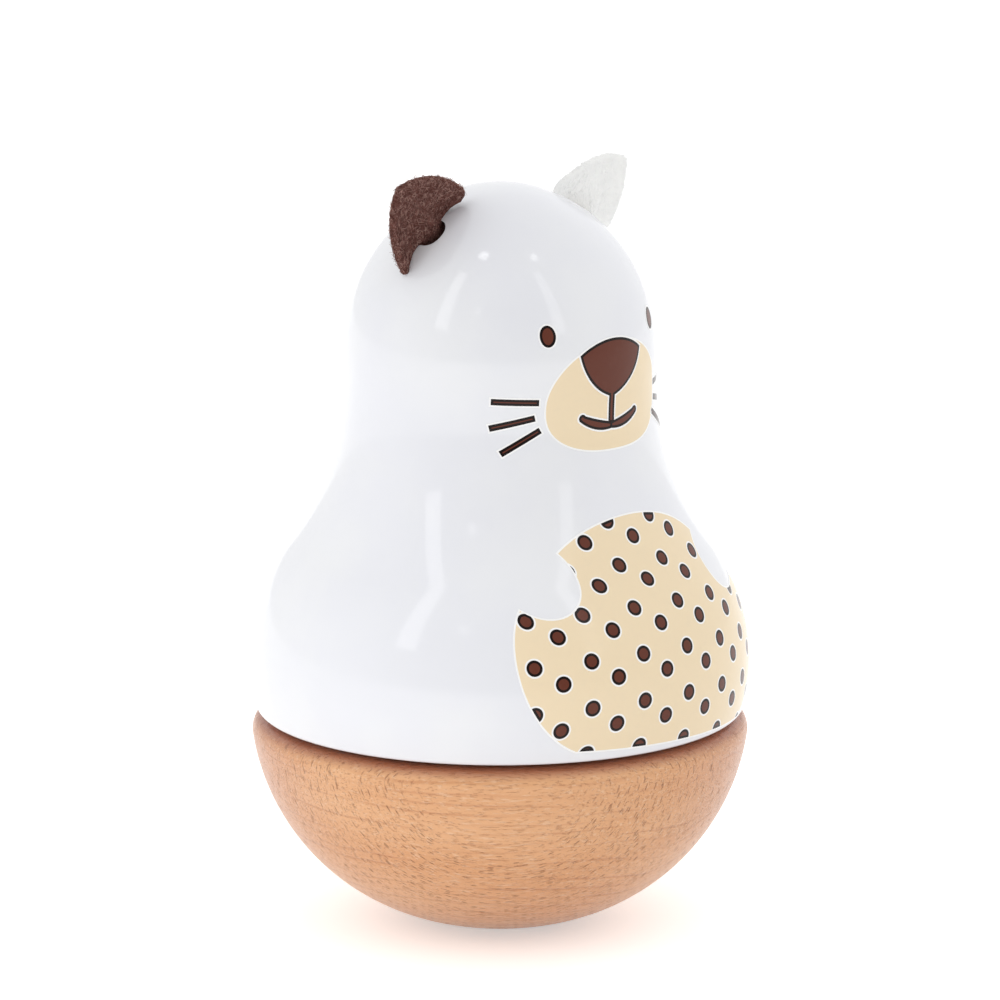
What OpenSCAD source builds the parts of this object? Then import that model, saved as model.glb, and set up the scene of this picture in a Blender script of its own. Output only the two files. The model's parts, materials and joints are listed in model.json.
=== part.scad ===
// Musical roly-poly bear: a hollow wooden figure that is wound by turning it on its round base.
// Millimetres. The rest face is z = 0, the turning axis is Z, and the face looks along -Y.

/* [Wooden base] */
// Radius of the base at its widest
base_r = 45; // [41:0.5:52]
// Distance of the outer arc's centre from the axis
base_arc_x = 4.5; // [3:0.5:6]
// Depth sanded off the round bottom for the rest face
base_flat_cut = 0.2; // [0.1:0.05:0.5]
// Height of the rim's top face
base_h = 38.2; // [35:0.1:42]
// Radius of the rim's rounded edge
rim_round = 2; // [1:0.25:3]
// Wall of the base beside the deck
rim_wall = 7; // [6.5:0.5:7.5]
// Width of the ledge that the deck rests on
ledge_w = 4; // [3:0.5:4.5]
// Thickness of the deck
deck_t = 4; // [3:0.5:4.5]
// Depth of the deck below the rim
deck_sink = 0.5; // [0.3:0.1:1]
// Gap between the movement's far corner and the wall of the cavity
movement_gap = 0.57; // [0.3:0.01:2]
// Gap between the lowest piece of the movement and the cavity's floor
floor_gap = 1.2; // [0.5:0.1:2.5]

/* [Ballast] */
// Radius of the steel weight
ballast_r = 20.7; // [16:0.1:21]
// Depth of the weight's top below the cavity's floor
ballast_sink = 1; // [0.5:0.1:3]
// Height of the weight's underside above the table
ballast_z = 6.5; // [6:0.25:7.5]
// Gap round the weight in its pocket
ballast_gap = 0.3; // [0.2:0.1:0.6]

/* [Figure outline] */
// Height of the crown
head_top = 134; // [128:1:140]
// Radius of the crown
crown_r = 23.1; // [21:0.1:25]
// Radius of the sides of the head
side_r = 30.5; // [29:0.1:33]
// Distance of the side arc's centre past the axis
side_x = 2.47; // [1:0.01:4]
// Radius of the neck's hollow curve
neck_r = 50.4; // [42:0.2:60]
// Radius of the belly's curve
belly_r = 34.5; // [32:0.1:36]
// Height of the belly's widest place
belly_z = 47.85; // [46.5:0.05:50]
// Distance of the belly's widest place inside the base's
belly_in = 0.15; // [0.1:0.05:1]
// Gap between the rim and the figure
seam_gap = 0.75; // [0.5:0.05:1.2]
// Radius of the figure's lower edge
edge_r = 0.8; // [0.4:0.1:1.2]

/* [Figure inside] */
// Wall of the figure at its mouth, from the base's widest
mouth_wall = 7; // [6.5:0.1:8]
// Width of the shoulder above the drive disc
shoulder_w = 1.5; // [1:0.25:2.5]
// Thickness of the drive disc
disc_t = 6; // [5:0.5:8]
// Thickness of the thrust washer
thrust_t = 2; // [1.6:0.1:2.4]
// Outer radius of the thrust washer
thrust_r = 14; // [10:0.5:18]
// Height of the straight part of the belly's hollow
hollow_h = 16; // [10:1:18]
// Radius of the bore through the neck
neck_bore_r = 21; // [16:0.5:22]
// Height of the taper between hollow and bore
taper_h = 20; // [16:1:22]
// Height of the bore's straight part
bore_h = 26; // [18:1:28]

/* [Felt ears] */
// Angle of the ear's hole above level
ear_rise = 44; // [36:1:52]
// Radius of the hole for the ear's tab
ear_hole_r = 2.7; // [2.4:0.1:3.2]
// Depth of the ear's hole
ear_hole_d = 7; // [5:0.5:9]
// Half width of the ear
ear_r = 9.1; // [8:0.1:10]
// Height of the ear above its hole
ear_h = 14.5; // [12:0.1:16]
// Thickness of the felt
ear_t = 2.2; // [2:0.1:2.6]
// Depth that the ear's sides are cupped forward
ear_cup = 2.5; // [1.5:0.1:3]
// Angle that the ear leans forward
ear_lean = 20; // [14:0.5:24]
// Angle that the ear is turned about its hole
ear_yaw = 5.5; // [0:0.5:10]
// Angle that the ear droops outward
ear_sway = 2.5; // [0:0.5:6]
// Distance of the felt behind the middle of its hole
ear_back = 1.3; // [1:0.05:1.4]
// Gap between the ear's edge and the head
ear_gap = 0.3; // [0.2:0.05:0.5]

/* [Movement] */
// Radius of the winding arbor in the movement
arbor_r = 1.5; // [1.4:0.05:1.6]
// Running clearance round a turning shaft
run_gap = 0.05; // [0.02:0.01:0.08]
// Thickness of the bedplate
plate_t = 2.4; // [2:0.1:2.6]
// Outer radius of the spring barrel
barrel_r = 8.6; // [8:0.1:9.6]
// Gap between the spring barrel and the pinion beside it
barrel_gap = 0.4; // [0.35:0.05:1]
// Height of the spring barrel
barrel_h = 8.6; // [7.5:0.1:9]
// Wall of the spring barrel
barrel_wall = 0.7; // [0.5:0.05:0.9]
// Thickness of the mainspring's strip
strip_t = 0.25; // [0.2:0.01:0.3]
// Turns of the mainspring
strip_turns = 7; // [5:1:9]
// Distance of the cylinder's axis below the bedplate
cyl_drop = 6.7; // [6.6:0.05:7]
// Radius of the cylinder
cyl_r = 5; // [4.6:0.1:5.1]
// Height of the cylinder's pins
pin_h = 0.5; // [0.3:0.05:0.55]
// Distance between the comb's teeth
note_pitch = 0.55; // [0.53:0.01:0.56]
// Length of the comb's longest teeth
reed_len = 8.35; // [7:0.05:9]
// Width of the comb's heel
heel_w = 6; // [5:0.25:6.5]
// Length of the cylinder past its last notes, at least
cyl_end = 0.8; // [0.6:0.05:0.9]
// Pins on each track
pins_each = 3; // [2:1:4]

/* [Gears] */
// Module of the crown wheel and its pinion
crown_mod = 0.5; // [0.5:0.01:0.55]
// Teeth of the cylinder's pinion
pinion_teeth = 10; // [10:1:12]
// Module of the governor's wheels
gov_mod = 0.3; // [0.28:0.01:0.31]
// Teeth of the cylinder's wheel
wheel_teeth = 36; // [34:1:38]
// Teeth of the first pinion
first_pinion_teeth = 9; // [8:1:10]
// Teeth of the first wheel
first_teeth = 24; // [22:1:26]
// Teeth of the second pinion
second_pinion_teeth = 8; // [8:1:10]
// Teeth of the worm wheel
worm_teeth = 24; // [22:1:25]
// Pressure angle of all teeth
pressure = 25; // [24:1:26]
// Radius of the worm at its pitch line
worm_r = 1; // [0.95:0.05:1.1]
// Radius of the fan
fan_r = 2.8; // [2.2:0.1:2.9]

/* [Hidden] */
$fn = 64;
touch = 0.01;

// Levels of the base, from the table up
base_arc_r = base_r - base_arc_x;
base_arc_z = base_arc_r - base_flat_cut;
deck_r = base_r - rim_wall;
cavity_r = deck_r - ledge_w;
deck_top = base_h - deck_sink;
deck_z = deck_top - deck_t;

// Levels of the figure
foot_z = base_h + seam_gap;
belly_x = base_r - belly_in - belly_r;
disc_z = deck_top + thrust_t;
disc_top = disc_z + disc_t;
crown_c = [0, head_top - crown_r];
side_c = [-side_x, crown_c[1] - sqrt(pow(side_r - crown_r, 2) - side_x * side_x)];
belly_c = [belly_x, belly_z];
neck_c = meet(side_c, side_r + neck_r, belly_c, belly_r + neck_r);
crown_end = crown_c + (crown_c - side_c) / (side_r - crown_r) * crown_r;
side_end = side_c + (neck_c - side_c) / (side_r + neck_r) * side_r;
neck_end = belly_c + (neck_c - belly_c) / (belly_r + neck_r) * belly_r;
edge_c = [belly_x + sqrt(pow(belly_r - edge_r, 2) - pow(foot_z + edge_r - belly_z, 2)), foot_z + edge_r];
belly_end = belly_c + (edge_c - belly_c) / (belly_r - edge_r) * belly_r;
mouth_r = base_r - mouth_wall;
hollow_r = mouth_r - shoulder_w;
hollow_top = disc_top + hollow_h;
bore_z = hollow_top + taper_h;
bore_top = bore_z + bore_h;

// The ear's hole is where a ray at ear_rise from the crown's centre leaves the head
ear_out = [cos(ear_rise), sin(ear_rise)];
ear_from = crown_c - side_c;
ear_at = crown_c + ear_out * (sqrt(pow(ear_from * ear_out, 2) + side_r * side_r - ear_from * ear_from)
    - ear_from * ear_out);

// Levels of the movement, hung under the deck
plate_z = deck_z - plate_t;
axis_z = plate_z - cyl_drop;
pinion_r = crown_mod * pinion_teeth / 2;
crown_face = 1.6;
pinion_side = 0.2;
pinion_w = crown_face + 2 * pinion_side;
crown_teeth = ceil(2 * (barrel_r + barrel_gap + pinion_w / 2) / crown_mod - touch);
crown_r_mean = crown_mod * crown_teeth / 2;
crown_pitch_z = axis_z - pinion_r;
crown_add = 0.35;
crown_ded = 0.5;
crown_disc_t = 2;
crown_disc_top = crown_pitch_z - crown_ded;
crown_disc_z = crown_disc_top - crown_disc_t;
barrel_z = plate_z - barrel_h;
clip_z = crown_disc_z - 0.7;
arbor_z = clip_z - 0.5;
stem_step = 0.5;
stem_r = arbor_r + stem_step;
collar_w = 1.5;
collar_r = stem_r + collar_w;
collar_t = 1.3;
nut_t = 3;
nut_r = 4.05;
nut_washer_t = 1;
nut_washer_r = 6;
arbor_end = 1.2;
arbor_top = disc_top + nut_washer_t + nut_t + arbor_end;

// Axes of the governor in the plane across the cylinder, as [y, z]
free = 0.35;
spindle_r = 0.8;
pivot_r = 0.5;
wheel_r = gov_mod * wheel_teeth / 2;
first_gap = gov_mod * (wheel_teeth + first_pinion_teeth) / 2;
second_gap = gov_mod * (first_teeth + second_pinion_teeth) / 2;
worm_wheel_r = gov_mod * worm_teeth / 2;
worm_tip_r = worm_r + 0.75 * gov_mod;
first_angle = 200;
first_at = [0, axis_z] + first_gap * [cos(first_angle), sin(first_angle)];
second_y = -worm_wheel_r - worm_r;
second_at = [second_y, first_at[1] + sqrt(second_gap * second_gap - pow(second_y - first_at[0], 2))];
second_angle = atan2(second_at[1] - first_at[1], second_at[0] - first_at[0]);
worm_lead = PI * gov_mod;
frame_drop = 2.4;
frame_low = first_at[1] - frame_drop;
bar_drop = 3.6;
bar_z = axis_z - bar_drop;
bar_t = 1;
bar_w = 2.8;
fan_h = 2;
fan_gap = 0.5;
fan_top = bar_z - fan_gap;
worm_end = 0.3;
worm_low = fan_top - fan_h - worm_end;
web_gap = 1.6;
web_y = first_at[0] - gov_mod * first_teeth / 2 - web_gap;

// Stations of the governor, inward from the cavity's wall
wall_t = 1;
wheel_w = 0.9;
first_w = 0.8;
worm_wheel_w = 0.8;
frame_end = sqrt(pow(cavity_r - movement_gap, 2) - web_y * web_y);
wall_b_x = frame_end - wall_t;
worm_x = wall_b_x - free - worm_tip_r;
worm_wheel_x = worm_x - worm_wheel_w / 2;
first_x = worm_wheel_x - free - first_w;
wall_a_x = first_x - free - wall_t;
wheel_x = wall_a_x - free - wheel_w;

// Stations of the cylinder, outward from the arbor; it takes the room that is left, and as many notes as fit
pinion_x = crown_r_mean - pinion_w / 2;
bracket_x = pinion_x + pinion_w + free;
bracket_t = 1.4;
cyl_x = bracket_x + bracket_t + free;
cyl_len = wheel_x - free - cyl_x;
notes = 1 + floor((cyl_len - 2 * cyl_end) / note_pitch);

// The cavity's floor clears the lowest piece, and the weight fills its pocket up to that floor
wheel_low = axis_z - wheel_r - 0.75 * gov_mod;
first_low = first_at[1] - gov_mod * (first_teeth / 2 + 0.75);
cavity_z = min(worm_low, arbor_z, wheel_low, first_low) - floor_gap;
ballast_t = cavity_z - ballast_sink - ballast_z;

// Comb
comb_side = 0.2;
comb_x = cyl_x + comb_side;
comb_len = cyl_len - 2 * comb_side;
comb_gap = 0.15;
comb_tip_y = cyl_r + pin_h + comb_gap;
comb_root_y = comb_tip_y + reed_len;
comb_heel_y = comb_root_y + heel_w;
comb_t = 0.6;
comb_heel_t = 2;
comb_rise = 0.4;
comb_top = axis_z + comb_rise;
reed_step = 3.2;
reed_slit = 0.2;
tooth_w = note_pitch - reed_slit;

// Fasteners
deck_screw_at = deck_r - 2;
deck_screw_angles = [45, 135, 225, 315];
deck_screw_d = 10;
deck_head_r = 1.9;
deck_head_t = 1.6;
pocket_r = ballast_r + ballast_gap;
ballast_screw_d = 4;
ballast_head_r = 3;
ballast_head_t = 2;
screw_r = 1.2;
small_screw_r = 0.8;
small_head_r = 1.2;
small_head_t = 0.9;
plate_screw_r = 1.25;
plate_head_r = 2.3;
plate_head_t = 1.4;
plate_over = 0.07;
plate_edge = 1.4;
plate_side = plate_edge + 1;
foot_t = 1.2;
small_screw_in = 1;
comb_screw_in = 3.5;
bracket_reach = 3;
bracket_drop = 2.2;
bracket_low_y = -cyl_r - pin_h - 3.3;
bracket_foot = 3;
bracket_foot_w = 3.2;
bracket_screw_at = [bracket_x + bracket_t + 1.4, bracket_low_y + bracket_foot_w / 2];
frame_mid = (wall_a_x + frame_end) / 2;
pad_y = worm_tip_r + 0.8;
pad_w = 4;
web_foot_w = 3.6;
frame_screws = [[frame_mid, web_y + web_foot_w - 1.3], [frame_mid, pad_y + pad_w / 2]];
comb_screw_in_x = small_head_r + 0.6;
comb_screws_at = [for (x = [comb_screw_in_x, comb_len - comb_screw_in_x])
    [comb_x + x, comb_root_y + heel_w / 2]];
plate_screws = [[-barrel_r + 0.6, -barrel_r + 2.6], [comb_x - 4.4, comb_heel_y - 4.5],
    [cyl_x + 4.4, web_y + 1]];

// Point where two circles meet, on the side away from the axis
function meet(a, ra, b, rb) =
    let (d = norm(b - a), u = (b - a) / d, k = (ra * ra - rb * rb + d * d) / (2 * d))
    a + k * u + sqrt(ra * ra - k * k) * [abs(u[1]), u[0] * (u[1] > 0 ? -1 : 1)];

// Points along an arc
function arc(c, r, a0, a1, n) = [for (i = [0 : n]) let (a = a0 + (a1 - a0) * i / n) c + r * [cos(a), sin(a)]];

function bearing(c, p) = atan2(p[1] - c[1], p[0] - c[0]);

function turn_in(a) = a < 0 ? a + 360 : a;

// Involute of an angle, in degrees
function involute(a) = tan(a) * 180 / PI - a;

// Outline of a spur wheel with a tooth on the first axis; play is taken off each tooth's thickness
module spur(teeth, mod, play) {
    pitch_r = mod * teeth / 2;
    base = pitch_r * cos(pressure);
    low = pitch_r - 1.05 * mod;
    tip = pitch_r + 0.75 * mod;
    start = max(base, low);
    widest = 90 / teeth - play / 2 / pitch_r * 180 / PI + involute(pressure);
    flank = [for (i = [0 : 4]) start + (tip - start) * i / 4];
    half = [for (r = flank) widest - involute(acos(base / r))];
    polygon([for (t = [0 : teeth - 1]) let (mid = 360 * t / teeth) each concat(
        [low * [cos(mid - half[0]), sin(mid - half[0])]],
        [for (i = [0 : 4]) flank[i] * [cos(mid - half[i]), sin(mid - half[i])]],
        [for (i = [4 : -1 : 0]) flank[i] * [cos(mid + half[i]), sin(mid + half[i])]],
        [low * [cos(mid + half[0]), sin(mid + half[0])]])]);
}

// Puts a shape drawn flat across the cylinder's axis, at a station x and a place [y, z]
module across(x, at) {
    translate([x, at[0], at[1]]) rotate([90, 0, 90]) children();
}

// A toothed wheel with a bored hub, across the cylinder's axis
module gear_across(x, w, at, teeth, mod, play, spin, bore) {
    across(x, at) difference() {
        linear_extrude(w) rotate(spin) spur(teeth, mod, play);
        translate([0, 0, -1]) cylinder(r = bore, h = w + 2);
    }
}

// A round-headed screw that points up from z = 0
module screw_up(r, head_r, head_t, length) {
    translate([0, 0, -head_t]) cylinder(r = head_r, h = head_t);
    cylinder(r = r, h = length);
}

module base_bowl() {
    edge_z = base_h - rim_round;
    edge = [base_arc_x + sqrt(pow(base_arc_r - rim_round, 2) - pow(edge_z - base_arc_z, 2)), edge_z];
    arc_c = [base_arc_x, base_arc_z];
    edge_meet = arc_c + (edge - arc_c) / (base_arc_r - rim_round) * base_arc_r;
    flat_angle = -asin(base_arc_z / base_arc_r);
    color("burlywood") difference() {
        rotate_extrude() polygon(concat(
            [[0, 0]],
            arc(arc_c, base_arc_r, flat_angle, bearing(arc_c, edge_meet), 28),
            arc(edge, rim_round, bearing(arc_c, edge_meet), 90, 8),
            [[deck_r, base_h], [deck_r, deck_z], [cavity_r, deck_z], [cavity_r, cavity_z],
                [pocket_r, cavity_z], [pocket_r, ballast_z], [0, ballast_z]]));
        for (a = deck_screw_angles) rotate(a) translate([deck_screw_at, 0, deck_z - deck_screw_d])
            cylinder(r = screw_r, h = deck_screw_d + 1);
        translate([0, 0, ballast_z - ballast_screw_d]) cylinder(r = screw_r, h = ballast_screw_d + 1);
    }
}

module ballast_disc() {
    color("dimgray") translate([0, 0, ballast_z]) difference() {
        cylinder(r = ballast_r, h = ballast_t);
        translate([0, 0, -1]) cylinder(r = screw_r + 0.3, h = ballast_t + 2);
        translate([0, 0, ballast_t - ballast_head_t])
            cylinder(r = ballast_head_r + 0.5, h = ballast_head_t + 1);
    }
}

module ballast_screw() {
    head_z = ballast_z + ballast_t - ballast_head_t;
    color("silver") translate([0, 0, head_z]) mirror([0, 0, 1])
        screw_up(screw_r, ballast_head_r, ballast_head_t - 0.3, head_z - ballast_z + ballast_screw_d);
}

module deck() {
    color("tan") difference() {
        translate([0, 0, deck_z]) cylinder(r = deck_r, h = deck_t);
        translate([0, 0, deck_z - 1]) cylinder(r = stem_r + 1, h = deck_t + 2);
        for (a = deck_screw_angles) rotate(a) translate([deck_screw_at, 0, 0]) {
            translate([0, 0, deck_z - 1]) cylinder(r = screw_r, h = deck_t + 2);
            translate([0, 0, deck_top - deck_head_t]) cylinder(r = deck_head_r + 0.1, h = deck_head_t + 1);
        }
        for (p = plate_screws) translate([p[0], p[1], 0]) {
            translate([0, 0, deck_z - 1]) cylinder(r = plate_screw_r + 0.2, h = deck_t + 2);
            translate([0, 0, deck_top - plate_head_t - 0.2])
                cylinder(r = plate_head_r + 0.3, h = plate_head_t + 1);
        }
    }
}

module deck_screws() {
    color("silver") for (a = deck_screw_angles) rotate(a)
        translate([deck_screw_at, 0, deck_top - deck_head_t]) mirror([0, 0, 1])
        screw_up(screw_r, deck_head_r, deck_head_t - 0.2, deck_t - deck_head_t + deck_screw_d);
}

module thrust_washer() {
    color("ivory") translate([0, 0, deck_top]) difference() {
        cylinder(r = thrust_r, h = thrust_t);
        translate([0, 0, -1]) cylinder(r = collar_r + 1.5, h = thrust_t + 2);
    }
}

module movement_screws() {
    color("silver") for (p = plate_screws)
        translate([p[0], p[1], deck_top - plate_head_t - 0.2]) mirror([0, 0, 1])
        screw_up(plate_screw_r, plate_head_r, plate_head_t, deck_t - plate_head_t - 0.2 + plate_t);
}

module bedplate() {
    color("lightgray") difference() {
        union() {
            translate([0, 0, plate_z]) linear_extrude(plate_t) intersection() {
                circle(r = cavity_r - movement_gap + plate_over);
                polygon([[-barrel_r - plate_side, -barrel_r - plate_edge],
                    [-barrel_r - plate_side, barrel_r + plate_edge],
                    [barrel_r / 2, comb_heel_y + plate_edge],
                    [comb_x + comb_len + plate_edge, comb_heel_y + plate_edge],
                    [frame_end + plate_over, pad_y + pad_w + 2 * plate_side],
                    [frame_end + plate_over, web_y - plate_over], [wall_a_x, web_y - plate_edge],
                    [bracket_x, web_y - plate_edge], [0, -barrel_r - plate_side]]);
            }
            translate([comb_x, comb_root_y, comb_top])
                cube([comb_len, comb_heel_y - comb_root_y, plate_z - comb_top + touch]);
        }
        translate([0, 0, plate_z - 1]) cylinder(r = arbor_r + run_gap, h = plate_t + 2);
        for (p = plate_screws) translate([p[0], p[1], plate_z - 1])
            cylinder(r = plate_screw_r, h = plate_t + 2);
        for (p = concat(frame_screws, [bracket_screw_at])) translate([p[0], p[1], plate_z - 1])
            cylinder(r = small_screw_r, h = small_screw_in + 1.2);
        for (p = comb_screws_at) translate([p[0], p[1], comb_top - 1])
            cylinder(r = small_screw_r, h = comb_screw_in + 1.5);
        translate([worm_x, 0, plate_z - 1]) cylinder(r = pivot_r + run_gap, h = 2);
    }
}

module spring_barrel() {
    color("goldenrod") translate([0, 0, barrel_z]) difference() {
        cylinder(r = barrel_r, h = barrel_h);
        translate([0, 0, barrel_wall]) cylinder(r = barrel_r - barrel_wall, h = barrel_h);
        translate([0, 0, -1]) cylinder(r = arbor_r + 0.3, h = 3);
    }
}

// The spring's strip is wound from the arbor out to a hook that is pressed into the barrel's wall
module mainspring() {
    hook_h = 0.33;
    inner = arbor_r + 0.7;
    outer = barrel_r - barrel_wall - 0.1 - strip_t;
    steps = strip_turns * 20;
    function coil(i, add) = (inner + (outer - inner) * i / steps + add) * [cos(i * 18), sin(i * 18)];
    color("steelblue") translate([0, 0, barrel_z + barrel_wall]) linear_extrude(barrel_h - barrel_wall - 0.4)
        polygon(concat([for (i = [0 : steps]) coil(i, 0)],
            [coil(steps, strip_t + hook_h), coil(steps - 0.25, strip_t + hook_h)],
            [coil(steps - 0.25, strip_t)],
            [for (i = [steps - 1 : -1 : 0]) coil(i, strip_t)]));
}

module comb() {
    color("lightsteelblue") difference() {
        union() {
            translate([comb_x, comb_root_y, comb_top - comb_heel_t])
                cube([comb_len, comb_heel_y - comb_root_y, comb_heel_t]);
            for (i = [0 : notes - 1]) translate([note_x(i) - tooth_w / 2, comb_tip_y, comb_top - comb_t])
                cube([tooth_w, comb_root_y - comb_tip_y + touch, comb_t]);
            translate([comb_x, comb_root_y - reed_slit / 2, comb_top - comb_t]) linear_extrude(comb_t)
                polygon([[0, reed_slit], [0, 0], [comb_len, -reed_step], [comb_len, reed_slit]]);
        }
        for (p = comb_screws_at) translate([p[0], p[1], comb_top - comb_heel_t - 1])
            cylinder(r = small_screw_r, h = comb_heel_t + 2);
    }
}

module comb_screws() {
    color("silver") for (p = comb_screws_at) translate([p[0], p[1], comb_top - comb_heel_t])
        screw_up(small_screw_r, small_head_r, small_head_t, comb_heel_t + comb_screw_in);
}

module cylinder_bracket() {
    color("lightgray") difference() {
        union() {
            translate([bracket_x, bracket_low_y, axis_z - bracket_drop])
                cube([bracket_t, bracket_reach - bracket_low_y, plate_z - axis_z + bracket_drop]);
            translate([bracket_x, bracket_low_y, plate_z - foot_t])
                cube([bracket_t + bracket_foot, bracket_foot_w, foot_t]);
        }
        across(bracket_x - 1, [0, axis_z]) cylinder(r = spindle_r + run_gap, h = bracket_t + 2);
        translate([bracket_screw_at[0], bracket_screw_at[1], plate_z - 3]) cylinder(r = small_screw_r, h = 4);
    }
}

module bracket_screw() {
    color("silver") translate([bracket_screw_at[0], bracket_screw_at[1], plate_z - foot_t])
        screw_up(small_screw_r, small_head_r, small_head_t, foot_t + small_screw_in);
}

module governor_frame() {
    span = frame_end - wall_a_x;
    color("darkgray") difference() {
        union() {
            for (x = [wall_a_x, wall_b_x]) {
                translate([x, web_y, bar_z]) cube([wall_t, pad_y + pad_w - web_y, plate_z - bar_z]);
                translate([x, web_y, frame_low])
                    cube([wall_t, -fan_r - fan_gap - web_y, bar_z - frame_low + touch]);
            }
            translate([wall_a_x, web_y, frame_low]) cube([span, wall_t, plate_z - frame_low]);
            translate([wall_a_x, web_y, plate_z - foot_t]) cube([span, web_foot_w, foot_t]);
            translate([wall_a_x, pad_y, plate_z - foot_t]) cube([span, pad_w, foot_t]);
            translate([wall_a_x, -bar_w / 2, bar_z]) cube([span, bar_w, bar_t]);
        }
        across(wall_a_x - 1, [0, axis_z]) cylinder(r = spindle_r + run_gap, h = wall_t + 2);
        for (at = [first_at, second_at]) across(wall_a_x - 1, at)
            cylinder(r = pivot_r + run_gap, h = span + 2);
        translate([worm_x, 0, bar_z - 1]) cylinder(r = pivot_r + run_gap, h = bar_t + 2);
        for (p = frame_screws) translate([p[0], p[1], plate_z - 3]) cylinder(r = small_screw_r, h = 4);
    }
}

module governor_screws() {
    color("silver") for (p = frame_screws) translate([p[0], p[1], plate_z - foot_t])
        screw_up(small_screw_r, small_head_r, small_head_t, foot_t + small_screw_in);
}

module figure_shell() {
    color("white") difference() {
        rotate_extrude() polygon(concat(
            arc(crown_c, crown_r, 90, bearing(side_c, crown_end), 8),
            arc(side_c, side_r, bearing(side_c, crown_end), bearing(side_c, side_end), 22),
            arc(neck_c, neck_r, turn_in(bearing(neck_c, side_end)), turn_in(bearing(neck_c, neck_end)), 16),
            arc(belly_c, belly_r, bearing(belly_c, neck_end), bearing(belly_c, belly_end), 20),
            arc(edge_c, edge_r, bearing(belly_c, belly_end), -90, 6),
            [[mouth_r, foot_z], [mouth_r, disc_top], [hollow_r, disc_top], [hollow_r, hollow_top],
                [neck_bore_r, bore_z], [neck_bore_r, bore_top], [neck_bore_r / 3, bore_top + neck_bore_r / 3],
                [0, bore_top + neck_bore_r / 3]]));
        for (side = [0, 1]) mirror([side, 0, 0]) ear_frame() translate([0, -ear_hole_d, 0])
            cylinder_up(ear_hole_r, ear_hole_d + 5);
    }
}

// Frame of an ear's hole: first axis down along the head, second axis out of the hole, third axis forward
module ear_frame() {
    translate([ear_at[0], 0, ear_at[1]]) rotate([90, 0, 0]) rotate(ear_rise - 90) children();
}

// A round bar along the second axis of an ear's frame
module cylinder_up(r, h) {
    rotate([-90, 0, 0]) cylinder(r = r, h = h);
}

// A felt ear: a rounded sheet, cupped and leaning forward, clear of the head, with a tab in the hole
module felt_ear() {
    bend = ear_r * ear_r / (2 * ear_cup);
    tab_half = sqrt(pow(ear_hole_r - 0.05, 2) - pow(ear_back + ear_t / 2, 2));
    function rim(a) = [ear_r * (cos(a) < 0 ? -1 : 1) * pow(abs(cos(a)), 1.1), ear_h * pow(abs(sin(a)), 1.1)];
    difference() {
        ear_frame() translate([0, 0, -ear_back]) rotate([0, ear_yaw, 0]) rotate([ear_lean, 0, 0])
            rotate([0, 0, -ear_sway]) intersection() {
            translate([0, 0, -4]) linear_extrude(10)
                polygon(concat([for (a = [0 : 6 : 180]) rim(a)], [[-ear_r, -1], [ear_r, -1]]));
            translate([0, -3, bend]) difference() {
                cylinder_up(bend + ear_t / 2, ear_h + 6);
                translate([0, -1, 0]) cylinder_up(bend - ear_t / 2, ear_h + 8);
            }
        }
        rotate_extrude() intersection() {
            translate(side_c) circle(r = side_r + ear_gap);
            translate([0, side_c[1]]) square([side_r, side_r]);
        }
    }
    ear_frame() translate([-tab_half, -ear_hole_d, -ear_back - ear_t / 2])
        cube([2 * tab_half, ear_hole_d + 1.5, ear_t]);
}

module ear_right() {
    color("saddlebrown") mirror([1, 0, 0]) felt_ear();
}

module ear_left() {
    color("linen") felt_ear();
}

module drive_disc() {
    color("wheat") translate([0, 0, disc_z]) difference() {
        cylinder(r = mouth_r, h = disc_t);
        translate([0, 0, -1]) cylinder(r = stem_r, h = disc_t + 2);
    }
}

module winding_arbor() {
    color("silver") {
        translate([0, 0, arbor_z]) cylinder(r = arbor_r, h = deck_z - arbor_z);
        translate([0, 0, deck_z]) cylinder(r = stem_r, h = arbor_top - deck_z);
        translate([0, 0, disc_z - collar_t]) cylinder(r = collar_r, h = collar_t);
    }
}

module arbor_washer() {
    color("silver") translate([0, 0, disc_top]) difference() {
        cylinder(r = nut_washer_r, h = nut_washer_t);
        translate([0, 0, -1]) cylinder(r = stem_r, h = nut_washer_t + 2);
    }
}

module arbor_nut() {
    color("silver") translate([0, 0, disc_top + nut_washer_t]) difference() {
        cylinder(r = nut_r, h = nut_t, $fn = 6);
        translate([0, 0, -1]) cylinder(r = stem_r, h = nut_t + 2);
    }
}

module great_wheel() {
    pitch = PI * crown_mod;
    half = pitch / 4 - 0.1;
    lean = tan(pressure);
    outer = crown_r_mean + crown_face / 2;
    color("goldenrod") difference() {
        union() {
            translate([0, 0, crown_disc_z]) cylinder(r = outer, h = crown_disc_t);
            for (i = [0 : crown_teeth - 1]) rotate((i + 0.5) * 360 / crown_teeth)
                translate([outer - crown_face, 0, crown_pitch_z]) rotate([90, 0, 90])
                linear_extrude(crown_face - 0.05)
                polygon([[-half - crown_ded * lean, -crown_ded - touch],
                    [half + crown_ded * lean, -crown_ded - touch],
                    [half - crown_add * lean, crown_add], [-half + crown_add * lean, crown_add]]);
        }
        translate([0, 0, crown_disc_z - 1]) cylinder(r = arbor_r, h = crown_disc_t + 3);
    }
}

module arbor_clip() {
    color("silver") translate([0, 0, clip_z]) difference() {
        cylinder(r = arbor_r + 1.3, h = crown_disc_z - clip_z);
        translate([0, 0, -1]) cylinder(r = arbor_r, h = 3);
    }
}

module music_cylinder() {
    color("gold") across(cyl_x, [0, axis_z]) difference() {
        cylinder(r = cyl_r, h = cyl_len);
        translate([0, 0, 0.8]) cylinder(r = cyl_r - 0.6, h = cyl_len - 1.6);
        translate([0, 0, -1]) cylinder(r = spindle_r, h = cyl_len + 2);
    }
}

// Where a note's tooth and track are along the cylinder
function note_x(i) = cyl_x + cyl_len / 2 + (i - (notes - 1) / 2) * note_pitch;

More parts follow.
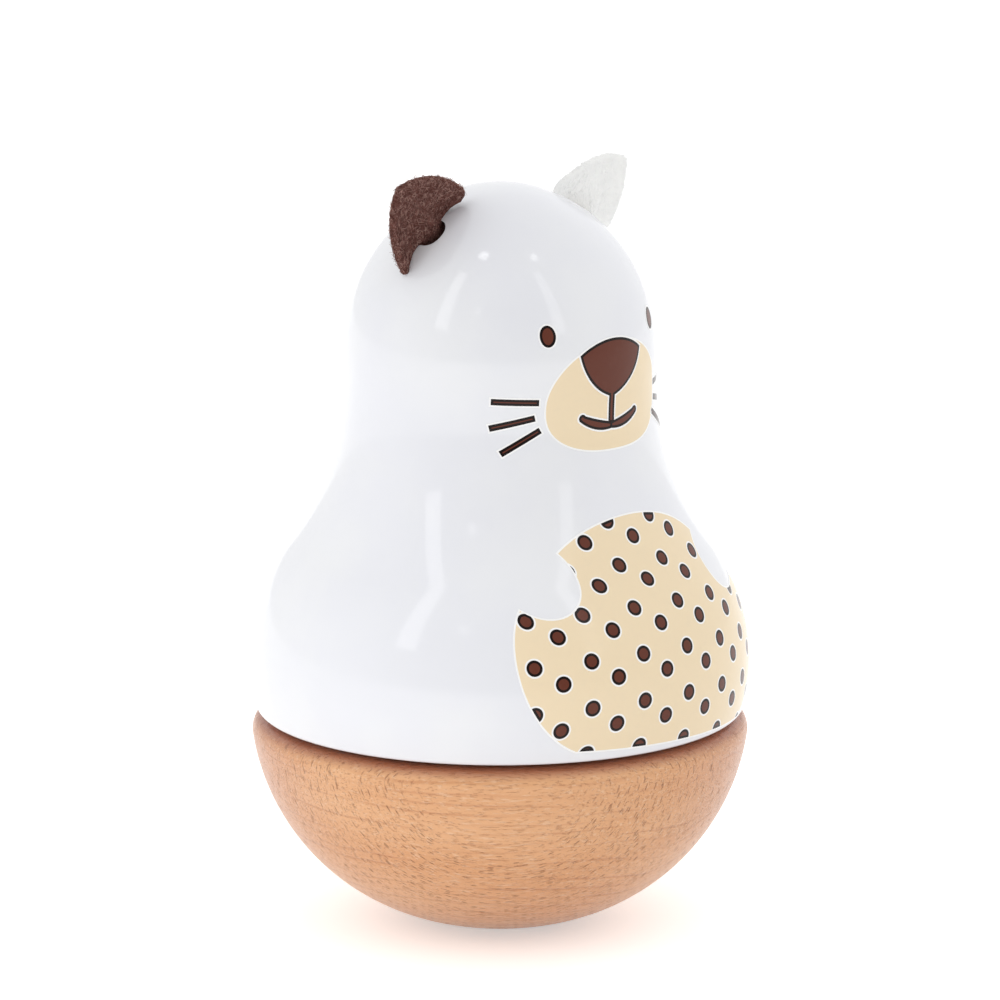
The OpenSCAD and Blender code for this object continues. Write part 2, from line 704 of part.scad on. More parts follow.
module cylinder_pins() {
    color("gold") for (i = [0 : notes - 1]) for (k = [0 : pins_each - 1])
        translate([note_x(i), 0, axis_z]) rotate([i * 137.5 + k * 360 / pins_each + (i % 4) * 11, 0, 0])
        translate([0, 0, cyl_r - 0.4]) cylinder(r = 0.14, h = pin_h + 0.4, $fn = 16);
}

module cylinder_arbor() {
    color("silver") across(pinion_x, [0, axis_z]) cylinder(r = spindle_r, h = wall_a_x + wall_t - pinion_x);
}

module cylinder_pinion() {
    color("goldenrod") gear_across(pinion_x, pinion_w, [0, axis_z], pinion_teeth, crown_mod, 0.1,
        -90, spindle_r);
}

module cylinder_wheel() {
    color("goldenrod") gear_across(wheel_x, wheel_w, [0, axis_z], wheel_teeth, gov_mod, 0.05,
        first_angle, spindle_r);
}

module first_arbor() {
    color("silver") across(wheel_x - 0.1, first_at) cylinder(r = pivot_r, h = frame_end - wheel_x + 0.1);
}

module first_pinion() {
    color("silver") gear_across(wheel_x - 0.1, wheel_w + 0.2, first_at, first_pinion_teeth, gov_mod, 0.05,
        first_angle + 180 + 180 / first_pinion_teeth, pivot_r);
}

module first_wheel() {
    color("goldenrod") gear_across(first_x, first_w, first_at, first_teeth, gov_mod, 0.05,
        second_angle, pivot_r);
}

module second_arbor() {
    color("silver") across(wall_a_x, second_at) cylinder(r = pivot_r, h = frame_end - wall_a_x);
}

module second_pinion() {
    color("silver") gear_across(first_x - 0.1, first_w + 0.2, second_at, second_pinion_teeth, gov_mod, 0.05,
        second_angle + 180 + 180 / second_pinion_teeth, pivot_r);
}

module worm_wheel() {
    color("goldenrod") gear_across(worm_wheel_x, worm_wheel_w, second_at, worm_teeth, gov_mod, 0.1,
        180 / worm_teeth, pivot_r);
}

module worm() {
    half = worm_lead / 4 - 0.06;
    lean = tan(pressure);
    tip = worm_tip_r;
    low = 0.5;
    per_turn = 18;
    rings = 4 * per_turn;
    // One ring of the thread's section, at a step along the helix that is 0 beside the worm wheel's axis
    function ring(i) = let (n = (i - rings / 2) / per_turn, a = -90 + n * 360, z = n * worm_lead)
        [for (q = [[low, -half - (worm_r - low) * lean], [tip, -half + (tip - worm_r) * lean],
            [tip, half - (tip - worm_r) * lean], [low, half + (worm_r - low) * lean]])
            [q[0] * cos(a), q[0] * sin(a), z + q[1]]];
    color("silver") {
        translate([worm_x, 0, worm_low]) cylinder(r = pivot_r, h = plate_z + 0.8 - worm_low);
        translate([worm_x, 0, second_at[1] - 2.6]) cylinder(r = 0.6, h = 5.2);
        translate([worm_x, 0, second_at[1]]) polyhedron(
            points = [for (i = [0 : rings]) each ring(i)],
            faces = concat(
                [[3, 2, 1, 0]],
                [for (i = [0 : rings - 1]) for (k = [0 : 3]) each
                    [[4 * i + k, 4 * i + (k + 1) % 4, 4 * i + 4 + k],
                        [4 * i + (k + 1) % 4, 4 * i + 4 + (k + 1) % 4, 4 * i + 4 + k]]],
                [[4 * rings, 4 * rings + 1, 4 * rings + 2, 4 * rings + 3]]));
    }
}

module fan() {
    color("gray") translate([worm_x, 0, fan_top - fan_h]) difference() {
        union() {
            cylinder(r = 0.9, h = fan_h);
            translate([-fan_r, -0.1, 0]) cube([2 * fan_r, 0.2, fan_h]);
        }
        translate([0, 0, -1]) cylinder(r = pivot_r, h = fan_h + 2);
    }
}

base_bowl();
ballast_disc();
ballast_screw();
deck();
deck_screws();
thrust_washer();
movement_screws();
bedplate();
spring_barrel();
mainspring();
comb();
comb_screws();
cylinder_bracket();
bracket_screw();
governor_frame();
governor_screws();
figure_shell();
ear_right();
ear_left();
drive_disc();
winding_arbor();
arbor_washer();
arbor_nut();
great_wheel();
arbor_clip();
music_cylinder();
cylinder_pins();
cylinder_arbor();
cylinder_pinion();
cylinder_wheel();
first_arbor();
first_pinion();
first_wheel();
second_arbor();
second_pinion();
worm_wheel();
worm();
fan();
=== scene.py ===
import json
import math
import random
import bmesh
import bpy
from mathutils import Matrix, Vector, noise


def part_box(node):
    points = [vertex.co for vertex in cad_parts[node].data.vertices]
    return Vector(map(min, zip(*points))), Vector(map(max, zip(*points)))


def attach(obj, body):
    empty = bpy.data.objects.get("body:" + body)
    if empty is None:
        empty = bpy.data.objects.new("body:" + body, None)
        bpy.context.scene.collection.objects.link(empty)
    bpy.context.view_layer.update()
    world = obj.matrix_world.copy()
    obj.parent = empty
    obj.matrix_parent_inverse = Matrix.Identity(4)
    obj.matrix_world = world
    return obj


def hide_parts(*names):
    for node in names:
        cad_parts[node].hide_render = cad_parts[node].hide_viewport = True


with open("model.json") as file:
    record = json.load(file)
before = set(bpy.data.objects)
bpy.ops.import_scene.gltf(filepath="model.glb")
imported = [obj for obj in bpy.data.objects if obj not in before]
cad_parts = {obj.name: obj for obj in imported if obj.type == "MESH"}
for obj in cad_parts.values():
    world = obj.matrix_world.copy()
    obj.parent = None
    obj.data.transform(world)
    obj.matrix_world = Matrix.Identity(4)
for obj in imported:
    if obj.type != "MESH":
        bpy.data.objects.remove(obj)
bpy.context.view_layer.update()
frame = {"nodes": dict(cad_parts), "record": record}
nodes = frame["nodes"]
print("frame loaded:", len(nodes), "nodes")

# Shapes are drawn in millimetres, face towards -Y, and brought to metres when they are made pieces
millimetre = 0.001


def boxInMm(node):
    low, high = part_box(node)
    return low / millimetre, high / millimetre


# Camera
camera = {
    "away": 950,          # level distance from the turning axis
    "height": 281,
    "turn": -43.49,       # degrees round the object from the face
    "tilt": 77.853,       # 90 would look level
    "lens": 195.53, "sensor": 36,
    "seesFrom": 0.05, "seesTo": 20,     # metres
}


def placeCamera(c):
    data = bpy.data.cameras.new("camera")
    data.sensor_width = c["sensor"]
    data.lens = c["lens"]
    data.clip_start = c["seesFrom"]
    data.clip_end = c["seesTo"]
    obj = bpy.data.objects.new("camera", data)
    bpy.context.scene.collection.objects.link(obj)
    a = math.radians(c["turn"])
    obj.location = Vector((math.sin(a) * c["away"], -math.cos(a) * c["away"], c["height"])) * millimetre
    obj.rotation_euler = (math.radians(c["tilt"]), 0, a)
    bpy.context.scene.camera = obj


placeCamera(camera)
print("camera placed")


# Shader nodes: a wire is a socket that can stand in sums
class Wire:
    def __init__(self, finish, socket):
        self.finish = finish
        self.socket = socket

    def sum(self, how, first, second):
        return self.finish.node("Math", {"operation": how}, {0: first, 1: second})

    def __add__(self, other):
        return self.sum("ADD", self, other)

    def __radd__(self, other):
        return self.sum("ADD", other, self)

    def __sub__(self, other):
        return self.sum("SUBTRACT", self, other)

    def __rsub__(self, other):
        return self.sum("SUBTRACT", other, self)

    def __mul__(self, other):
        return self.sum("MULTIPLY", self, other)

    def __rmul__(self, other):
        return self.sum("MULTIPLY", other, self)

    def __truediv__(self, other):
        return self.sum("DIVIDE", self, other)


class Shading:
    def __init__(self, tree):
        self.tree = tree

    def node(self, kind, settings=None, sockets=None, out=0):
        made = self.tree.nodes.new("ShaderNode" + kind)
        for key, value in (settings or {}).items():
            setattr(made, key, value)
        for key, value in (sockets or {}).items():
            self.feed(made.inputs[key], value)
        return Wire(self, made.outputs[out])

    def feed(self, socket, value):
        if isinstance(value, Wire):
            self.tree.links.new(value.socket, socket)
        else:
            socket.default_value = value

    def ramp(self, value, low, high):  # 0 below low, 1 above high, smooth between
        return self.node("MapRange", {"interpolation_type": "SMOOTHSTEP"},
                         {"Value": value, "From Min": low, "From Max": high})


class Finish(Shading):
    def __init__(self, name):
        self.material = bpy.data.materials.new(name)
        self.material.use_nodes = True
        super().__init__(self.material.node_tree)
        self.shader = self.tree.nodes["Principled BSDF"]

    def set(self, **values):
        for key, value in values.items():
            self.feed(self.shader.inputs[shaderSockets[key]], value)

    def place(self):
        return self.node("TexCoord", out="Object")

    def stretched(self, vector, by):
        return self.node("VectorMath", {"operation": "MULTIPLY"}, {0: vector, 1: by})

    def cloud(self, vector, scale, detail=2.0, rough=0.5, warp=0.0):
        return self.node("TexNoise", {}, {"Vector": vector, "Scale": scale, "Detail": detail,
                                          "Roughness": rough, "Distortion": warp}, out="Fac")

    def mix(self, share, first, second):
        return self.node("Mix", {"data_type": "RGBA"}, {0: share, 6: first, 7: second}, out=2)

    def bump(self, height, strength, depth):
        return self.node("Bump", {}, {"Height": height, "Strength": strength, "Distance": depth})


shaderSockets = {
    "colour": "Base Color", "rough": "Roughness", "metal": "Metallic", "coat": "Coat Weight",
    "coatRough": "Coat Roughness", "specular": "Specular IOR Level", "normal": "Normal",
}


def tint(red, green, blue):  # screen colour, 0 to 255, as the shader's linear colour
    def linear(v):
        v = v / 255
        return v / 12.92 if v <= 0.04045 else ((v + 0.055) / 1.055) ** 2.4
    return linear(red), linear(green), linear(blue), 1


# White lacquer over wood: high gloss with a faint ripple and a few specks of dust under it
lacquer = {
    "white": (241, 242, 245), "cool": (238, 239, 244), "mottle": 45, "mottleRange": (0.35, 0.65),
    "speck": (182, 178, 176), "speckCells": 75.0, "speckRange": (0.008, 0.02), "speckPick": (0.86, 0.87),
    "speckShare": 0.6, "ripple": 130, "fineRipple": 420, "fineShare": 0.2,
    "rough": 0.065, "roughMore": 0.04, "roughCloud": 90, "bump": (0.05, 0.0002),
}


def lacquerFinish(c):
    f = Finish("whiteLacquer")
    place = f.place()
    mottle = f.ramp(f.cloud(place, c["mottle"], detail=3), *c["mottleRange"])
    colour = f.mix(mottle, tint(*c["white"]), tint(*c["cool"]))
    cell = {"Vector": place, "Scale": c["speckCells"]}
    near = f.node("TexVoronoi", {}, cell, out="Distance")
    pick = f.node("SeparateColor", {}, {0: f.node("TexVoronoi", {}, cell, out="Color")})
    speck = (1 - f.ramp(near, *c["speckRange"])) * f.ramp(pick, *c["speckPick"])
    fine = f.cloud(place, c["fineRipple"], detail=1) * c["fineShare"]
    ripple = f.cloud(place, c["ripple"], detail=1) + fine
    f.set(colour=f.mix(speck * c["speckShare"], colour, tint(*c["speck"])),
          rough=c["rough"] + f.cloud(place, c["roughCloud"]) * c["roughMore"],
          normal=f.bump(ripple, *c["bump"]))
    return f.material


# Beech: level growth rings, fibres across the camera's view, and rays as thin upright ribbons along the
# fibres, which the bowl cuts to short dark flecks. Painted shade makes it darker and redder along the rim,
# and some light dashes of the grain are painted highlights.
beech = {
    "light": (233, 178, 131), "mid": (225, 165, 116), "line": (184, 113, 71), "fleck": (146, 80, 45),
    # The glint colour is a painted highlight; the rim colour is painted shade under the body.
    "endGrain": (207, 145, 110), "paintedGlint": (250, 215, 180), "rimPaintedShade": (150, 70, 42),
    "rimShadeRange": (35.9, 38.1),     # mm above the floor, from none to full
    "fibreTurn": 43.5,              # degrees from the fibres' direction back to X
    "reach": 44.8,                  # mm from the axis to the widest part
    "ringPitch": 1.9,               # mm between growth rings
    "rayCell": (1.5, 0.17, 2.0),    # mm: room for one ray along the fibres, across them and up
    "rayShare": 0.36,               # part of the rooms that hold a ray
    "raySoft": 0.3,
    # Clouds, by how fast they change along the fibres, across them and up
    "drift": (0.012, 0.05, 0.05), "driftBy": 9, "waver": (0.06, 0.2, 0.3), "waverBy": 0.7,
    "strong": (0.04, 0.05, 0.5), "broad": (0.02, 0.04, 0.1), "pore": (0.45, 3.2, 3.2),
    "sheen": (0.3, 2.2, 2.2), "fineRough": 0.6,
    # Where each mark of the grain starts and is full
    "lineRise": (0.6, 0.88), "lineFall": (0.9, 1.0), "strongRange": (0.4, 0.7), "broadRange": (0.3, 0.7),
    "poreRange": (0.56, 0.7), "sheenRange": (0.52, 0.7), "fleckRange": (0.2, 0.5),
    "flatRange": (0.76, 0.96), "endRange": (0.35, 1.0),
    # How much of each shows
    "endShare": 0.7, "lineLeast": 0.08, "lineMore": 0.34, "paintedSheenShare": 0.35, "poreShare": 0.36,
    "fleckShare": 0.55, "rimShadeShare": 0.8, "poreDeep": 0.6, "lineDeep": 0.3, "sheenHigh": 0.3,
    "rough": 0.32, "fleckRough": 0.2, "poreRough": 0.1, "specular": 0.4, "coat": 0.2, "coatRough": 0.2,
    "bump": (0.8, 0.0002),
}


def beechFinish(c):
    f = Finish("beech")
    fibres = f.node("Mapping", {}, {"Vector": f.place(), "Rotation": (0, 0, math.radians(c["fibreTurn"])),
                                    "Scale": (1 / millimetre,) * 3})

    def grain(name, detail=2, rough=0.5):
        return f.cloud(f.stretched(fibres, c[name]), 1, detail, rough)
    along = f.node("SeparateXYZ", {}, {0: fibres}) / c["reach"]
    across = f.node("SeparateXYZ", {}, {0: fibres}, out=1) / c["reach"]
    height = f.node("SeparateXYZ", {}, {0: fibres}, out=2)
    drift = grain("drift", detail=1) * c["driftBy"]
    waver = grain("waver") * c["waverBy"]
    year = f.node("Math", {"operation": "FRACT"}, {0: (height + drift + waver) / c["ringPitch"]})
    lines = f.ramp(year, *c["lineRise"]) * (1 - f.ramp(year, *c["lineFall"]))
    strong = f.ramp(grain("strong"), *c["strongRange"])
    cell = {"Vector": f.stretched(fibres, tuple(1 / size for size in c["rayCell"])), "Scale": 1.0}
    near = f.node("TexVoronoi", {}, cell, out="Distance")
    chance = f.node("SeparateColor", {}, {0: f.node("TexVoronoi", {}, cell, out="Color")})
    held = f.ramp(chance, 1 - c["rayShare"], 1 - c["rayShare"] * c["raySoft"])
    # At the rim's front and back the rays lie flat, unseen
    cutOpen = 1 - f.ramp(across * across, *c["flatRange"])
    flecks = (1 - f.ramp(near, *c["fleckRange"])) * held * cutOpen
    pores = f.ramp(grain("pore", rough=c["fineRough"]), *c["poreRange"])
    sheen = f.ramp(grain("sheen", rough=c["fineRough"]), *c["sheenRange"])
    broad = f.ramp(grain("broad"), *c["broadRange"])
    colour = f.mix(broad, tint(*c["light"]), tint(*c["mid"]))
    colour = f.mix(f.ramp(along * along, *c["endRange"]) * c["endShare"], colour, tint(*c["endGrain"]))
    colour = f.mix(lines * (c["lineLeast"] + strong * c["lineMore"]), colour, tint(*c["line"]))
    # Painted highlight: some light dashes of the grain are made paler, as glints of the satin finish.
    colour = f.mix(sheen * c["paintedSheenShare"], colour, tint(*c["paintedGlint"]))
    colour = f.mix(pores * c["poreShare"], colour, tint(*c["line"]))
    colour = f.mix(flecks * c["fleckShare"], colour, tint(*c["fleck"]))
    # Painted shade: darker and redder towards the rim, where the body overhangs the wood.
    colour = f.mix(f.ramp(height, *c["rimShadeRange"]) * c["rimShadeShare"], colour, tint(*c["rimPaintedShade"]))
    relief = 1 - flecks - pores * c["poreDeep"] - lines * strong * c["lineDeep"] + sheen * c["sheenHigh"]
    f.set(colour=colour, rough=c["rough"] + flecks * c["fleckRough"] + pores * c["poreRough"],
          specular=c["specular"], coat=c["coat"], coatRough=c["coatRough"],
          normal=f.bump(relief, *c["bump"]))
    return f.material


# Felt: matted fibres in two shades
brownFelt = {"dark": (78, 46, 41), "mid": (112, 74, 67), "fibre": (178, 142, 132), "through": 0}
whiteFelt = {"dark": (253, 253, 252), "mid": (255, 255, 254), "fibre": (255, 255, 255), "through": 0.75}
feltLook = {
    "clump": 900, "clumpRange": (0.35, 0.65), "clumpWarp": 1.5, "fineRough": 0.6,
    "threads": (((1, 0.3, 0.45), 2600, (0.55, 0.68)), ((0.35, 1, 0.6), 2300, (0.56, 0.7))),
    "threadWarp": 2.5, "threadShare": 0.6, "threadHigh": 0.5, "bump": (0.8, 0.00025),
    "single": 1100, "singleRange": (0.35, 0.65), "rough": 1.0, "specular": 0.05,
}


def feltFinish(name, c):
    f = Finish(name)
    look = feltLook
    place = f.place()
    clumps = f.cloud(place, look["clump"], detail=3, rough=look["fineRough"], warp=look["clumpWarp"])

    def threadsOf(way, scale, shown):
        lying = f.cloud(f.stretched(place, way), scale, detail=3, rough=look["fineRough"],
                        warp=look["threadWarp"])
        return f.ramp(lying, *shown) * look["threadShare"]
    threads = threadsOf(*look["threads"][0]) + threadsOf(*look["threads"][1])
    colour = f.mix(f.ramp(clumps, *look["clumpRange"]), tint(*c["dark"]), tint(*c["mid"]))
    colour = f.mix(threads, colour, tint(*c["fibre"]))
    f.set(colour=colour, rough=look["rough"], specular=look["specular"],
          normal=f.bump(clumps + threads * look["threadHigh"], *look["bump"]))
    if c["through"]:
        passed = f.node("BsdfTranslucent", {}, {"Color": tint(*c["mid"])})
        both = f.node("MixShader", {}, {0: c["through"], 1: Wire(f, f.shader.outputs[0]), 2: passed})
        f.feed(f.tree.nodes["Material Output"].inputs["Surface"], both)
    return f.material


def fibreFinish(name, c):  # single fibres, each a little lighter or darker
    f = Finish(name)
    shade = f.ramp(f.cloud(f.place(), feltLook["single"]), *feltLook["singleRange"])
    f.set(colour=f.mix(shade, tint(*c["mid"]), tint(*c["fibre"])), rough=feltLook["rough"],
          specular=feltLook["specular"])
    return f.material


# Prints: ink with a little mottle
inks = {
    "brown": (103, 54, 40), "dark": (22, 9, 7), "edge": (255, 255, 254), "cream": (246, 226, 192),
    "thinKeeps": 0.9, "thinAdds": 18,   # a thin place in the ink, of 255 levels
    "mottle": 700, "mottleRough": 0.6, "mottleRange": (0.45, 0.8), "mottleShare": 0.3,
    "rough": 0.1, "roughMore": 0.06, "roughCloud": 400, "specular": 0.2,
}


def inkMottle(f, place, colour):
    thin = tuple(v * inks["thinKeeps"] + inks["thinAdds"] for v in colour)
    mottle = f.cloud(place, inks["mottle"], detail=3, rough=inks["mottleRough"])
    share = f.ramp(mottle, *inks["mottleRange"]) * inks["mottleShare"]
    return f.mix(share, tint(*colour), tint(*thin))


def setInk(f, place, colour):
    f.set(colour=colour, rough=inks["rough"] + f.cloud(place, inks["roughCloud"]) * inks["roughMore"],
          specular=inks["specular"])


def inkFinish(name, colour):
    f = Finish(name)
    place = f.place()
    setInk(f, place, inkMottle(f, place, colour))
    return f.material


# Metals, plywood and nylon of the works inside: colour, roughness, metal
worksColours = {
    "steel": ((196, 197, 200), 0.3, 1.0), "cast_zinc": ((158, 160, 163), 0.48, 1.0),
    "brass": ((205, 166, 92), 0.28, 1.0), "spring_steel": ((120, 128, 142), 0.32, 1.0),
    "nylon": ((232, 229, 218), 0.45, 0.0), "plywood": ((206, 170, 124), 0.6, 0.0),
}
worksLook = {
    "ply": (60, 900, 900), "plyRough": 0.6, "plyRange": (0.35, 0.7), "cast": 1500, "castRough": 0.7,
    "drawn": (500, 500, 4000), "darker": 0.8, "roughLess": 0.06, "roughMore": 0.14, "bump": (0.15, 0.00004),
    "paintedShadeBore": (16, 10, 8), "paleBore": (232, 206, 172),   # ear holes: under the brown ear painted near black as shade, under the white ear bare
}


def worksFinish(name, title=None, otherColour=None):
    look = worksLook
    colour, rough, metal = worksColours[name]
    colour = otherColour or colour
    f = Finish(title or name + "Works")
    place = f.place()
    if name == "plywood":
        sheets = f.cloud(f.stretched(place, look["ply"]), 1, detail=3, rough=look["plyRough"])
        streaks = f.ramp(sheets, *look["plyRange"])
    elif name == "cast_zinc":
        streaks = f.cloud(place, look["cast"], detail=3, rough=look["castRough"])
    else:
        streaks = f.cloud(f.stretched(place, look["drawn"]), 1)
    darker = tuple(v * look["darker"] for v in colour)
    f.set(colour=f.mix(streaks, tint(*colour), tint(*darker)),
          rough=rough - look["roughLess"] + streaks * look["roughMore"],
          metal=metal, normal=f.bump(streaks, *look["bump"]))
    return f.material


whiteLacquer = lacquerFinish(lacquer)
beechWood = beechFinish(beech)
brownFeltCloth = feltFinish("brownFelt", brownFelt)
whiteFeltCloth = feltFinish("whiteFelt", whiteFelt)
brownFibre = fibreFinish("brownFibre", brownFelt)
whiteFibre = fibreFinish("whiteFibre", whiteFelt)
# The first bore is painted near black as shade in the hole; the second is bare wood.
paintedShadeBore = worksFinish("plywood", "paintedShadeBore", worksLook["paintedShadeBore"])
paleBore = worksFinish("plywood", "paleBore", worksLook["paleBore"])
brownInk = inkFinish("brownInk", inks["brown"])
darkInk = inkFinish("darkInk", inks["dark"])
edgeInk = inkFinish("edgeInk", inks["edge"])
creamInk = inkFinish("creamInk", inks["cream"])
slotFinish = {"beech": beechWood, "white_lacquer": whiteLacquer,
              "brown_felt": brownFeltCloth, "white_felt": whiteFeltCloth}
for slotName in worksColours:
    slotFinish[slotName] = worksFinish(slotName)
for part in frame["record"]["subparts"]:
    mesh = nodes[part["node"]].data
    mesh.materials.clear()
    mesh.materials.append(slotFinish[part["material_slot"]])
print("finishes made:", len(bpy.data.materials))


# Drawing in the XZ plane: each call goes on from a vertex and gives the next one
drawing = {"joinOutline": 0.001, "join": 0.0005, "crease": 38}      # mm, mm and degrees


def lineTo(bm, vert, x, z):
    new = bmesh.ops.extrude_vert_indiv(bm, verts=[vert])["verts"][0]
    new.co = Vector((x, 0, z))
    return new


def arcAbout(bm, vert, centre, degrees, steps):  # degrees are clockwise
    made = bmesh.ops.spin(bm, geom=[vert], cent=(centre[0], 0, centre[1]), axis=(0, 1, 0),
                          angle=math.radians(degrees), steps=steps)
    return [v for v in made["geom_last"] if isinstance(v, bmesh.types.BMVert)][0]


def bearing(centre, point):
    return math.degrees(math.atan2(point[1] - centre[1], point[0] - centre[0]))


def arcThrough(bm, vert, via, end, steps):
    a = Vector((vert.co.x, vert.co.z))
    b = Vector(via) - a
    c = Vector(end) - a
    twist = 2 * (b.x * c.y - b.y * c.x)
    centre = a + Vector((c.y * b.length_squared - b.y * c.length_squared,
                         b.x * c.length_squared - c.x * b.length_squared)) / twist
    degrees = (bearing(centre, a) - bearing(centre, end)) % 360
    if twist > 0:
        degrees -= 360
    return arcAbout(bm, vert, centre, degrees, steps)


def closeFace(bm):
    bmesh.ops.remove_doubles(bm, verts=bm.verts[:], dist=drawing["joinOutline"])
    made = bmesh.ops.contextual_create(bm, geom=bm.edges[:])["faces"][0]
    made.normal_update()
    if made.normal.y > 0:
        made.normal_flip()
    return made


def cutInSquares(bm, square):
    for axis in (0, 2):
        values = [v.co[axis] for v in bm.verts]
        cut = math.floor(min(values) / square) * square
        while cut < max(values):
            normal = Vector((0, 0, 0))
            normal[axis] = 1
            bmesh.ops.bisect_plane(bm, geom=bm.verts[:] + bm.edges[:] + bm.faces[:], dist=drawing["join"],
                                   plane_co=normal * cut, plane_no=normal)
            cut += square


def turnedOnLathe(bm, steps):
    bmesh.ops.spin(bm, geom=bm.verts[:] + bm.edges[:], cent=(0, 0, 0), axis=(0, 0, 1),
                   angle=math.tau, steps=steps, use_merge=True)
    bmesh.ops.remove_doubles(bm, verts=bm.verts[:], dist=drawing["join"])
    bmesh.ops.recalc_face_normals(bm, faces=bm.faces[:])


def shadeMesh(mesh):  # smooth, apart from sharp creases
    crease = math.radians(drawing["crease"])
    bm = bmesh.new()
    bm.from_mesh(mesh)
    for face in bm.faces:
        face.smooth = True
    for edge in bm.edges:
        edge.smooth = len(edge.link_faces) == 2 and edge.calc_face_angle(0) < crease
    bm.to_mesh(mesh)
    bm.free()


def makePiece(name, bm, body, finishes, inMetres=False):
    if not inMetres:
        bmesh.ops.scale(bm, vec=(millimetre,) * 3, verts=bm.verts[:])
    mesh = bpy.data.meshes.new(name)
    bm.to_mesh(mesh)
    bm.free()
    shadeMesh(mesh)
    for finish in finishes:
        mesh.materials.append(finish)
    obj = bpy.data.objects.new(name, mesh)
    bpy.context.scene.collection.objects.link(obj)
    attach(obj, body)
    return obj


def bakeModifiers(obj):
    bpy.context.view_layer.update()
    shown = obj.evaluated_get(bpy.context.evaluated_depsgraph_get())
    done = bpy.data.meshes.new_from_object(shown)
    obj.modifiers.clear()
    obj.data = done


# Base: a turned beech bowl with a rounded rim, a recess for the deck, a cavity and a pocket for the weight
baseHigh = boxInMm("base_bowl")[1]
deckLow, deckHigh = boxInMm("deck")
weightLow, weightHigh = boxInMm("ballast_disc")
base = {
    "arcRadius": 40.5, "arcOut": 4.5, "flatCut": 0.2, "rim": baseHigh.z, "rimRound": 3.2,
    "deckRadius": deckHigh.x, "deckLow": deckLow.z, "ledge": 4, "floor": 17,
    "weightRadius": weightHigh.x, "weightRoom": 0.3, "pocketFloor": weightLow.z, "turns": 224,
}


def turnBase(c):
    bm = bmesh.new()
    centre = Vector((c["arcOut"], c["arcRadius"] - c["flatCut"]))
    edge = Vector((0, c["rim"] - c["rimRound"]))
    edge.x = centre.x + math.sqrt((c["arcRadius"] - c["rimRound"]) ** 2 - (edge.y - centre.y) ** 2)
    lean = bearing(centre, edge)
    flat = -90 + math.degrees(math.acos(centre.y / c["arcRadius"]))
    v = bm.verts.new((0, 0, 0))
    v = lineTo(bm, v, centre.x + c["arcRadius"] * math.cos(math.radians(flat)), 0)
    v = arcAbout(bm, v, centre, flat - lean, steps=64)
    v = arcAbout(bm, v, edge, lean - 90, steps=14)
    inner = c["deckRadius"] - c["ledge"]
    pocket = c["weightRadius"] + c["weightRoom"]
    for x, z in ((c["deckRadius"], c["rim"]), (c["deckRadius"], c["deckLow"]), (inner, c["deckLow"]),
                 (inner, c["floor"]), (pocket, c["floor"]), (pocket, c["pocketFloor"]),
                 (0, c["pocketFloor"])):
        v = lineTo(bm, v, x, z)
    turnedOnLathe(bm, c["turns"])
    piece = makePiece("base_wood", bm, "base", [beechWood])
    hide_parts("base_bowl")


turnBase(base)
print("base turned")

# Figure: the turned shell, drawn from the crown down to its lower edge and back up its hollow
shellLow, shellHigh = boxInMm("figure_shell")
discHigh = boxInMm("drive_disc")[1]
figure = {
    "top": shellHigh.z, "foot": shellLow.z, "widest": shellHigh.x, "crownRadius": 23.1,
    "sideRadius": 30.5, "sideIn": 2.47, "neckRadius": 50.4, "bellyRadius": 34.5, "bellyHeight": 47.85,
    "edgeRadius": 0.8, "mouth": discHigh.x, "shoulder": discHigh.z, "shoulderWidth": 1.5,
    "hollowHeight": 16, "taper": 20, "bore": 21, "boreHeight": 26, "roofPart": 3, "turns": 224,
}


def bodyLines(c):  # centres of the arcs, as (distance from the axis, height)
    crown = Vector((0, c["top"] - c["crownRadius"]))
    inner = c["sideRadius"] - c["crownRadius"]
    side = Vector((-c["sideIn"], crown.y - math.sqrt(inner ** 2 - c["sideIn"] ** 2)))
    belly = Vector((c["widest"] - c["bellyRadius"], c["bellyHeight"]))
    fromSide = c["sideRadius"] + c["neckRadius"]
    fromBelly = c["bellyRadius"] + c["neckRadius"]
    apart = (belly - side).length
    along = (belly - side) / apart
    foot = (fromSide ** 2 - fromBelly ** 2 + apart ** 2) / (2 * apart)
    neck = side + along * foot + math.sqrt(fromSide ** 2 - foot ** 2) * Vector((-along.y, along.x))
    edge = Vector((0, c["foot"] + c["edgeRadius"]))
    edge.x = belly.x + math.sqrt((c["bellyRadius"] - c["edgeRadius"]) ** 2 - (edge.y - belly.y) ** 2)
    return {"crown": crown, "side": side, "neck": neck, "belly": belly, "edge": edge}


arcs = bodyLines(figure)
bellyTop = bearing(arcs["belly"], arcs["neck"])
bellyFoot = math.degrees(math.asin((figure["foot"] - figure["bellyHeight"]) / figure["bellyRadius"]))
neckTop = bearing(arcs["neck"], arcs["side"])
sideLow = bearing(arcs["side"], arcs["neck"])
sideTop = bearing(arcs["side"], arcs["crown"])
bellyRise = figure["bellyRadius"] * math.radians(bellyTop - bellyFoot)
neckRise = figure["neckRadius"] * math.radians((180 + bellyTop) % 360 - neckTop)


def surfacePoint(rise):  # rise is the length along the outside from the lower edge; gives place and normal
    if rise < bellyRise:
        a = math.radians(bellyFoot) + rise / figure["bellyRadius"]
        out = Vector((math.cos(a), math.sin(a)))
        return arcs["belly"] + out * figure["bellyRadius"], out
    if rise < bellyRise + neckRise:
        a = math.radians(180 + bellyTop) - (rise - bellyRise) / figure["neckRadius"]
        out = -Vector((math.cos(a), math.sin(a)))
        return arcs["neck"] - out * figure["neckRadius"], out
    a = math.radians(sideLow) + (rise - bellyRise - neckRise) / figure["sideRadius"]
    out = Vector((math.cos(a), math.sin(a)))
    return arcs["side"] + out * figure["sideRadius"], out


